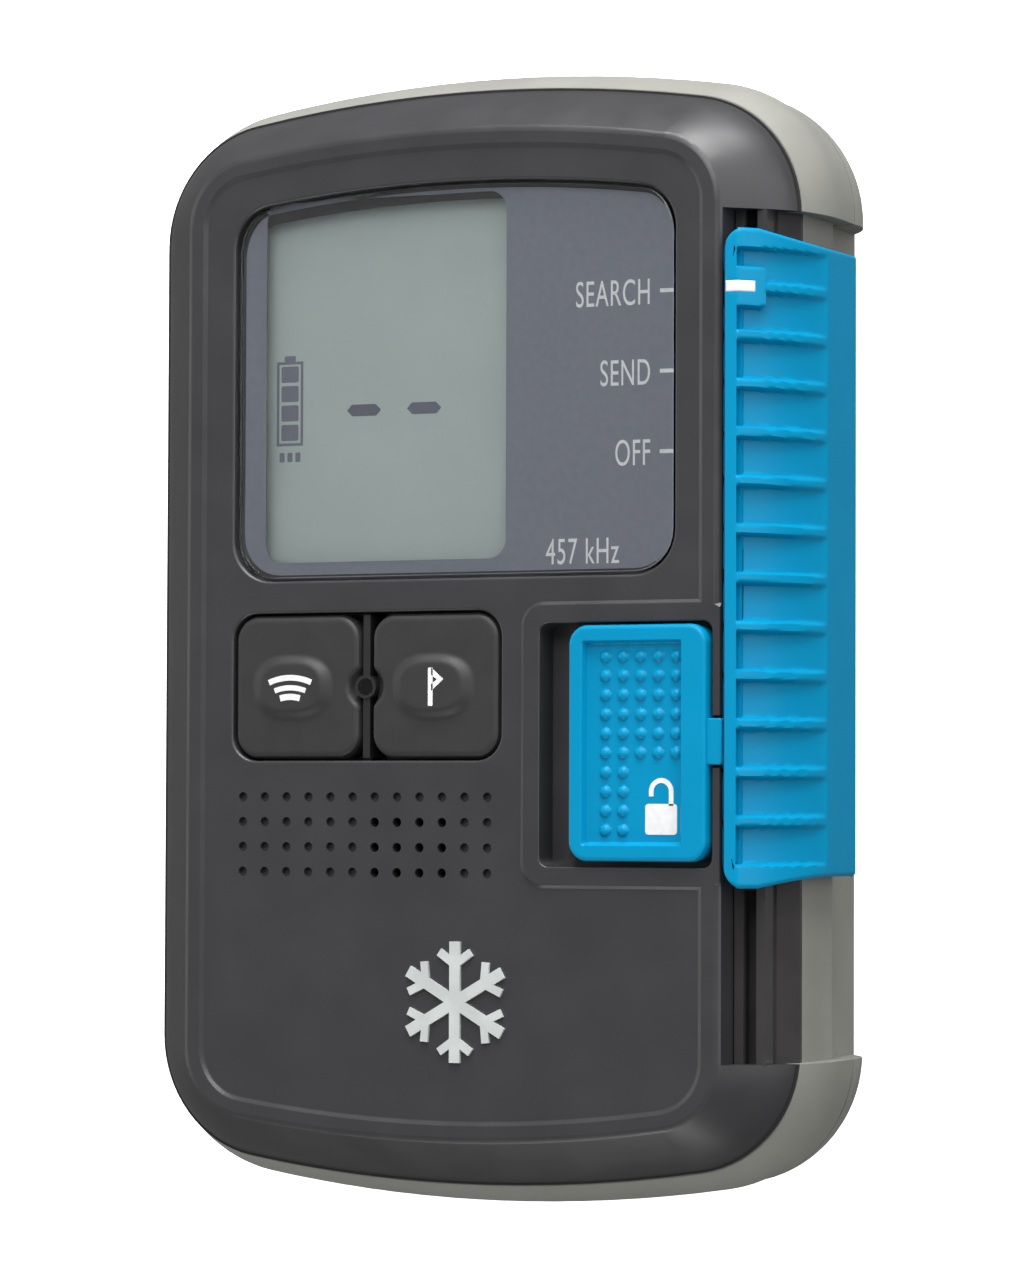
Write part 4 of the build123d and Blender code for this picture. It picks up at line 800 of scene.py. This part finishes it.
class MakeSpeaker(bpy.types.Operator):
    """Finishes the speaker behind the grid of holes"""
    bl_idname = "transceiver.make_speaker"
    bl_label = "Speaker"
    bl_options = {"REGISTER", "UNDO"}

    def execute(self, context):
        dress({
            "speaker_mesh": woven("mesh_cloth", linear("151515")),
            "speaker_gasket": "glue_tape",
            "speaker_frame": "frame_black",
            "speaker_cone": polished("speaker_film", linear("6b5430"), 0.25, 0.35),
            "speaker_magnet": worked_metal("magnet_nickel", linear("c4c4c4"), 0.2),
        })
        return {"FINISHED"}


# ---- slider ----

class MakeSlider(bpy.types.Operator):
    """Makes the ribbed mode slider, its index mark and the rail it runs on"""
    bl_idname = "transceiver.make_slider"
    bl_label = "Mode slider"
    bl_options = {"REGISTER", "UNDO"}
    rib_count = 12
    first_rib = 5.9 * MM
    top_pocket = 1.9 * MM
    bottom_pocket = 2.25 * MM
    index_block = 3.9 * MM
    index_reach = 3.4 * MM
    slant = 1.1 * MM
    corner_radius = 2.1 * MM
    crease_drop = 12.0 * MM
    shoulder_in = 1.85 * MM
    shoulder_drop = 4.6 * MM
    skin = 1.15 * MM
    side_run = 2.6 * MM
    edge_radius = 0.45 * MM
    end_rounding = 0.4 * MM
    end_wall = 1.2 * MM
    grid_across = 0.24 * MM
    grid_along = 0.19 * MM
    slope = 0.3 * MM
    mark_reach = 3.35 * MM
    inlay_depth = 0.06 * MM

    def execute(self, context):
        controls = context.scene.transceiver.controls
        blue = moulded(
            "slider_blue", controls.blue, 0.3, 0.4, grain=0.2 * MM, depth=0.004 * MM, spread=0.02,
            Specular_IOR_Level=0.14)
        self.lo, self.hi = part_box("mode_slider")
        self.lay_out_profile(controls)
        self.make_shell(controls, blue)
        self.make_mark()
        dress({
            "slide_rail": polished("rail_black", linear("343233")),
            "slider_magnet": "magnet_nickel",
            "detent_spring": worked_metal("spring_steel", linear("c9c7c0"), 0.22),
            "hall_sensors": moulded("chip_black", linear("1c1c1e"), 0.4, 0.55),
        })
        return {"FINISHED"}

    def lay_out_profile(self, controls):
        """The section of the outer face, as runs with their lengths, from the inner side round to the lip."""
        x0, x1 = self.lo.x, self.hi.x
        top, low = self.hi.z, self.lo.z
        radius = self.edge_radius
        quarter = 1.57 * radius
        strip_end = (x0 + controls.strip_width, top)
        crease = (x1, top - self.crease_drop)
        via = (x1 - self.shoulder_in, top - self.shoulder_drop)
        centre, big = circle_through(strip_end, via, crease)
        start, end = (math.atan2(z - centre[1], x - centre[0]) for x, z in (strip_end, crease))

        def side(t):
            return (x0, top - self.side_run + (self.side_run - radius) * t), (-1, 0)

        def corner(t):
            return on_arc((x0 + radius, top - radius), radius, math.pi - t * math.pi / 2)

        def strip(t):
            return (x0 + radius + (controls.strip_width - radius) * t, top), (0, 1)

        def shoulder(t):
            # The strip runs on level until the arc has come down to it.
            (x, z), outward = on_arc(centre, big, start + (end - start) * t)
            return ((x, top), (0, 1)) if z > top else ((x, z), outward)

        def flange(t):
            return (x1, crease[1] + (low + radius - crease[1]) * t), (1, 0)

        def lip(t):
            return on_arc((x1 - radius, low + radius), radius, -t * math.pi / 2)

        self.runs = [
            (self.side_run - radius, side), (quarter, corner), (controls.strip_width - radius, strip),
            (big * (start - end), shoulder), (crease[1] - low - radius, flange), (quarter, lip)]
        self.total = sum(run for run, shape in self.runs)
        self.strip_at = sum(run for run, shape in self.runs[:3])
        self.crease_at = sum(run for run, shape in self.runs[:4])
        self.mark_begin = self.runs[0][0] + self.runs[1][0] - 0.25 * MM

    def section(self, along):
        """Place and outward direction at a distance along the section."""
        left = along
        for run, shape in self.runs:
            if left <= run:
                return shape(max(left, 0.0) / run)
            left -= run
        return self.runs[-1][1](1.0)

    def pocket(self, controls, along, y):
        """Depth of the finger pockets below the outer face. They run out towards the crease."""
        begin = self.strip_at + 0.1 * MM
        finish = self.crease_at - 0.6 * MM
        if along < begin - self.slope or along > finish:
            return 0.0
        share = (along - begin) / (finish - begin)
        fade = max(0.0, 1 - share) ** 0.6 * smooth(along, begin - 0.2 * MM, begin + 0.1 * MM)
        inside = plateau(
            y, self.lo.y + self.bottom_pocket + self.slope, self.hi.y - self.top_pocket - self.slope,
            self.slope)
        for index in range(self.rib_count):
            away = abs(y - self.hi.y + self.first_rib + index * controls.rib_pitch)
            at_mark = index == 0 and along < self.strip_at + self.index_reach
            half = (self.index_block if at_mark else controls.rib_width) / 2
            inside *= smooth(away, half - 0.1 * MM, half + self.slope)
        return controls.pocket_depth * fade * inside

    def make_shell(self, controls, blue):
        """The outer face on a fine grid, given a wall, with closed ends and the feet that run in the rail."""
        bm = bmesh.new()
        columns = round(self.total / self.grid_across)
        rows = round((self.hi.y - self.lo.y) / self.grid_along)
        bmesh.ops.create_grid(bm, x_segments=columns, y_segments=rows, size=0.5)
        x_begin = self.lo.x + 2 * controls.strip_width
        span = self.hi.x - x_begin
        mark_lo, mark_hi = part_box("index_mark")
        for vert in bm.verts:
            along = (vert.co.x + 0.5) * self.total
            (x, z), (out_x, out_z) = self.section(along)
            cut = self.slant * max(0.0, x - x_begin) / span + roll_off(x - self.lo.x, self.corner_radius)
            y0, y1 = self.lo.y + cut, self.hi.y - cut
            y = y0 + (vert.co.y + 0.5) * (y1 - y0)
            sink = self.pocket(controls, along, y) + roll_off(min(y - y0, y1 - y), self.end_rounding)
            if mark_lo.y < y < mark_hi.y and self.mark_begin < along < self.mark_begin + self.mark_reach:
                sink += self.inlay_depth
            vert.co = (x - out_x * sink, y, z - out_z * sink)
        face_up(bm)
        bmesh.ops.solidify(bm, geom=bm.faces[:], thickness=self.skin)
        # The wall's inner side crosses itself in the pockets' corners, and must not stand out of the face.
        for vert in bm.verts:
            vert.co.x = max(vert.co.x, self.lo.x)
            vert.co.z = min(vert.co.z, self.hi.z)
        add_piece("mode_slider_shell", bm, blue, "slider", ["mode_slider"], 50)
        self.make_ends(controls, blue)

    def make_ends(self, controls, blue):
        """End walls, a thick strip and two feet inside the shell."""
        top = self.hi.z
        within = self.skin * 0.7
        step = (self.crease_at - self.strip_at) / 16
        inner = []
        for index in range(13):
            (x, z), (out_x, out_z) = self.section(self.strip_at + index * step)
            inner.append((x - out_x * within, z - out_z * within))
        floor_z = top - 3.8 * MM
        rim = [(self.lo.x + 0.5 * MM, floor_z), (self.lo.x + 0.5 * MM, top - 0.8 * MM)]
        rim += [(x, z) for x, z in inner if z > floor_z + 0.3 * MM]
        rim.append((self.hi.x - 2.4 * MM, floor_z))
        parts = []
        for y0 in (self.lo.y + 0.9 * MM, self.hi.y - 2.1 * MM):
            bm = bmesh.new()
            thicken(bm, [bm.faces.new([bm.verts.new((x, y0, z)) for x, z in rim])], (0, self.end_wall, 0))
            parts.append(bm)
        parts.append(slab(
            self.lo.x + 0.4 * MM, self.lo.x + controls.strip_width - 0.1 * MM,
            self.lo.y + 2 * MM, self.hi.y - 2 * MM, top - 2.7 * MM, top - 1.0 * MM, 0))
        foot_x = self.lo.x + 1.25 * MM
        for y0, y1 in ((self.lo.y + 6 * MM, self.lo.y + 18 * MM), (self.hi.y - 20 * MM, self.hi.y - 8 * MM)):
            for half, low, high, edge in ((0.4, 5.5, 2.6, 0.0), (0.8, 5.6, 5.05, 0.1)):
                parts.append(slab(
                    foot_x - half * MM, foot_x + half * MM, y0, y1, top - low * MM, top - high * MM, 0.2 * MM,
                    edge * MM))
        merged("mode_slider_inside", parts, blue, "slider")

    def make_mark(self):
        """The white index mark, laid into the strip and over the index block."""
        lo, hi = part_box("index_mark")
        bm = bmesh.new()
        bmesh.ops.create_grid(bm, x_segments=24, y_segments=6, size=0.5)
        for vert in bm.verts:
            (x, z), outward = self.section(self.mark_begin + (vert.co.x + 0.5) * self.mark_reach)
            vert.co = (x, (lo.y + hi.y) / 2 + vert.co.y * (hi.y - lo.y), z)
        face_up(bm)
        white = moulded("mark_white", linear("e4dde2"), 0.35, 0.45)
        mark = add_piece("index_inlay", bm, white, "slider", ["index_mark"])
        wall = mark.modifiers.new("wall", "SOLIDIFY")
        wall.thickness = 0.3 * MM
        wall.offset = -1


# ---- lock ----

class MakeLock(bpy.types.Operator):
    """Makes the lock button with its sunken grip, its icon and its spring"""
    bl_idname = "transceiver.make_lock"
    bl_label = "Lock"
    bl_options = {"REGISTER", "UNDO"}
    pocket_left = 1.55 * MM
    pocket_right = 2.5 * MM
    pocket_end = 1.6 * MM
    pocket_depth = 0.85 * MM
    tongue_width = 4.65 * MM
    tongue_y = -11.2 * MM
    slope = 0.35 * MM
    bump_radius = 0.6 * MM
    bump_height = 0.4 * MM

    def execute(self, context):
        controls = context.scene.transceiver.controls
        blue = made_finish("slider_blue")
        lo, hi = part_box("lock_button")
        x0, x1 = lo.x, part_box("lock_plate")[1].x + 0.2 * MM
        bumps = self.bump_places(controls, x0, hi.y)
        px0, px1 = x0 + self.pocket_left, x1 - self.pocket_right
        py0, py1 = lo.y + self.pocket_end, hi.y - self.pocket_end

        def height(x, y, edge):
            sunk = plateau(x, px0 + 0.3 * MM, px1 - 0.6 * MM, self.slope) * plateau(
                y, py0 + 0.3 * MM, py1 - 0.3 * MM, self.slope)
            away = min(math.hypot(x - bx, y - by) for bx, by in bumps) / self.bump_radius
            rise = self.bump_height * math.sqrt(max(0.0, 1 - away ** 2))
            return hi.z - (self.pocket_depth - rise) * sunk - roll_off(edge, 0.45 * MM)
        top = relief(x0, x1, lo.y, hi.y, 0.13 * MM, 2.0 * MM, height, lo.z)
        tongue = slab(
            x1 - 1 * MM, hi.x, self.tongue_y - self.tongue_width / 2, self.tongue_y + self.tongue_width / 2,
            hi.z - 1.8 * MM, hi.z - 0.4 * MM, 0.3 * MM, 0.15 * MM)
        merged("lock_button_top", [top, tongue], blue, "lock", ["lock_button"])
        self.make_icon(px1, py0, hi.z - self.pocket_depth)
        dress({"lock_plate": "frame_black", "lock_spring": "spring_steel"})
        return {"FINISHED"}

    def bump_places(self, controls, x0, top_y):
        """Five columns of six bumps, and two columns of four more below them."""
        pitch = controls.bump_pitch
        return [
            (x0 + 3.85 * MM + column * pitch, top_y - 3.2 * MM - row * pitch)
            for row in range(10) for column in range(5 if row < 6 else 2)]

    def make_icon(self, right, low, z):
        """An open padlock."""
        low_z, high_z = z - 0.02 * MM, z + 0.04 * MM
        x = right - 2.75 * MM
        y = low + 2.6 * MM
        body = slab(x - 1.75 * MM, x + 1.75 * MM, y - 1.5 * MM, y + 1.6 * MM, low_z, high_z, 0.35 * MM)
        bow_y = y + 2.85 * MM
        bow = arc_strip((x, bow_y), 1.1 * MM, 0.5 * MM, low_z, high_z, 0, 180)
        leg = slab(x + 0.85 * MM, x + 1.35 * MM, y + 1.4 * MM, bow_y, low_z, high_z, 0)
        stub = slab(x - 1.35 * MM, x - 0.85 * MM, bow_y - 0.5 * MM, bow_y, low_z, high_z, 0)
        merged("lock_icon", [body, bow, leg, stub], made_finish("icon_ink"), "lock")


# ---- badge ----

class MakeBadge(bpy.types.Operator):
    """Finishes the snow crystal badge"""
    bl_idname = "transceiver.make_badge"
    bl_label = "Badge"
    bl_options = {"REGISTER", "UNDO"}

    def execute(self, context):
        dress({"badge": worked_metal("badge_silver", linear("c8cccb"), 0.4, (14, 1, 1), metallic=0.3)})
        return {"FINISHED"}


# ---- inside ----

class MakePower(bpy.types.Operator):
    """Finishes the cells and their contacts"""
    bl_idname = "transceiver.make_power"
    bl_label = "Power"
    bl_options = {"REGISTER", "UNDO"}

    def execute(self, context):
        film = sleeve("cell_sleeve", linear("2c3338"), linear("b8863a"))
        nickel = worked_metal("contact_nickel", linear("c6c2b6"), 0.25)
        dress({
            "battery_1": film, "battery_2": film, "battery_3": film, "battery_plates": nickel,
            "battery_springs": "spring_steel",
        })
        return {"FINISHED"}


class MakeElectronics(bpy.types.Operator):
    """Finishes the board, its parts, the antennas and the vibration motor"""
    bl_idname = "transceiver.make_electronics"
    bl_label = "Electronics"
    bl_options = {"REGISTER", "UNDO"}

    def execute(self, context):
        tin = worked_metal("tin_plate", linear("bcbdbe"), 0.3)
        ferrite = moulded("ferrite", linear("2b2b2d"), 0.45, 0.6, grain=0.15 * MM)
        copper = linear("b8652f")
        dress({
            "main_board": laminate("board_green", linear("14512f")),
            "chips": "chip_black",
            "small_parts": moulded("small_ceramic", linear("b39a78"), 0.3, 0.45),
            "radio_shield": tin,
            "antenna_core_long": ferrite, "antenna_core_cross": ferrite, "antenna_core_upright": ferrite,
            "antenna_coil_long": winding("copper_wire_y", copper, "Y"),
            "antenna_coil_cross": winding("copper_wire_x", copper, "X"),
            "antenna_coil_upright": winding("copper_wire_z", copper, "Z"),
            "antenna_holders": "frame_black",
            "motor_can": worked_metal("motor_steel", linear("b4b4b4"), 0.25),
            "motor_weight": worked_metal("tungsten", linear("7d7d80"), 0.4),
        })
        return {"FINISHED"}


# ---- stage ----

class MakeStage(bpy.types.Operator):
    """Makes the floor, the lights and the camera"""
    bl_idname = "transceiver.make_stage"
    bl_label = "Stage"
    bl_options = {"REGISTER", "UNDO"}
    aim = Vector((0.937, -0.222, 14.5)) * MM
    floor_gap = 0.1 * MM
    under_case = 0.5 * MM
    floor_bounce = (0.16, 0.16, 0.16)
    room_light = 0.34
    # Each light's name, place, diameter and power. It points at the origin.
    lights = (
        ("key_light", (0.15, 0.5, 0.75), 0.5, 4.1),
        ("top_light", (0.16, 1.0, 0.26), 0.9, 22.0),
        ("left_light", (-0.95, 0.1, 0.3), 0.9, 2.2),
        ("end_light", (-0.1, -0.9, 0.25), 0.7, 3.6),
        ("side_light", (0.9, 0.25, 0.25), 1.1, 5.2))

    def execute(self, context):
        stage = context.scene.transceiver.stage
        self.make_floor(stage)
        self.make_camera(stage)
        for light in self.lights:
            self.add_light(*light)
        world = bpy.data.worlds.new("studio")
        world.use_nodes = True
        background = world.node_tree.nodes["Background"].inputs
        background["Color"].default_value = (1, 1, 1, 1)
        background["Strength"].default_value = self.room_light
        bpy.context.scene.world = world
        bpy.context.scene.view_settings.view_transform = "Standard"
        return {"FINISHED"}

    def make_floor(self, stage):
        bm = bmesh.new()
        bmesh.ops.create_grid(bm, x_segments=1, y_segments=1, size=2.0)
        bmesh.ops.translate(bm, verts=bm.verts, vec=(0, 0, -self.floor_gap))
        mesh = bpy.data.meshes.new("floor")
        bm.to_mesh(mesh)
        bm.free()
        finish = Finish("floor_white")
        finish.mottle(stage.floor, 0.005, 0.2)
        # The sweep is lit for the view only, so that it does not flood the case's sides.
        path = finish.node("LightPath").outputs
        finish.set(Roughness=0.7, Emission_Color=(*stage.floor, 1), Emission_Strength=path["Is Camera Ray"])
        dim = finish.node("BsdfDiffuse", Color=(*self.floor_bounce, 1)).outputs["BSDF"]
        sweep = finish.mix(path["Is Camera Ray"], dim, finish.shader.outputs["BSDF"])
        # From below, and close under the case, it is clear, so that the rear face is seen and lit.
        under = finish.math("MAXIMUM", finish.node("NewGeometry").outputs["Backfacing"], finish.math(
            "LESS_THAN", path["Ray Length"], self.under_case))
        clear = finish.node("BsdfTransparent").outputs["BSDF"]
        finish.wire(finish.nodes["Material Output"], Surface=finish.mix(under, sweep, clear))
        mesh.materials.append(finish.material)
        floor = bpy.data.objects.new("floor", mesh)
        bpy.context.scene.collection.objects.link(floor)

    def make_camera(self, stage):
        level = math.cos(stage.pitch)
        back = Vector((math.sin(stage.yaw) * level, math.sin(stage.pitch), math.cos(stage.yaw) * level))
        right = Vector((0, 1, 0)).cross(back).normalized()
        up = back.cross(right)
        turned_right = right * math.cos(stage.roll) + up * math.sin(stage.roll)
        turned_up = up * math.cos(stage.roll) - right * math.sin(stage.roll)
        data = bpy.data.cameras.new("camera")
        data.sensor_fit = "VERTICAL"
        data.sensor_height = 36
        data.lens = stage.lens
        data.clip_start = 0.01
        camera = bpy.data.objects.new("camera", data)
        place = self.aim + back * stage.distance
        camera.matrix_world = Matrix((*zip(turned_right, turned_up, back, place), (0, 0, 0, 1)))
        bpy.context.scene.collection.objects.link(camera)
        bpy.context.scene.camera = camera

    def add_light(self, name, place, diameter, power):
        data = bpy.data.lights.new(name, "AREA")
        data.shape = "DISK"
        data.size = diameter
        data.energy = power
        light = bpy.data.objects.new(name, data)
        light.location = place
        light.rotation_euler = Vector(place).to_track_quat("Z", "Y").to_euler()
        bpy.context.scene.collection.objects.link(light)


class TransceiverPanel(bpy.types.Panel):
    """Buttons that make the pieces of the transceiver"""
    bl_idname = "VIEW3D_PT_transceiver"
    bl_label = "Transceiver"
    bl_space_type = "VIEW_3D"
    bl_region_type = "UI"
    bl_category = "Transceiver"

    def draw(self, context):
        for maker in MAKERS:
            self.layout.operator(maker.bl_idname)


MAKERS = (
    MakeCase, MakeFasteners, MakeDisplay, MakeKeys, MakeSpeaker, MakeSlider, MakeLock, MakeBadge, MakePower,
    MakeElectronics, MakeStage)
GROUPS = (CaseSettings, DisplaySettings, ControlSettings, StageSettings, TransceiverSettings)


def register():
    for item in GROUPS + MAKERS + (TransceiverPanel,):
        bpy.utils.register_class(item)
    bpy.types.Scene.transceiver = bpy.props.PointerProperty(
        type=TransceiverSettings, name="Transceiver", description="Sizes and colours of the transceiver")


def unregister():
    del bpy.types.Scene.transceiver
    for item in reversed(GROUPS + MAKERS + (TransceiverPanel,)):
        bpy.utils.unregister_class(item)


def main():
    register()
    for maker in MAKERS:
        group, name = maker.bl_idname.split(".")
        getattr(getattr(bpy.ops, group), name)()


if __name__ == "__main__":
    main()
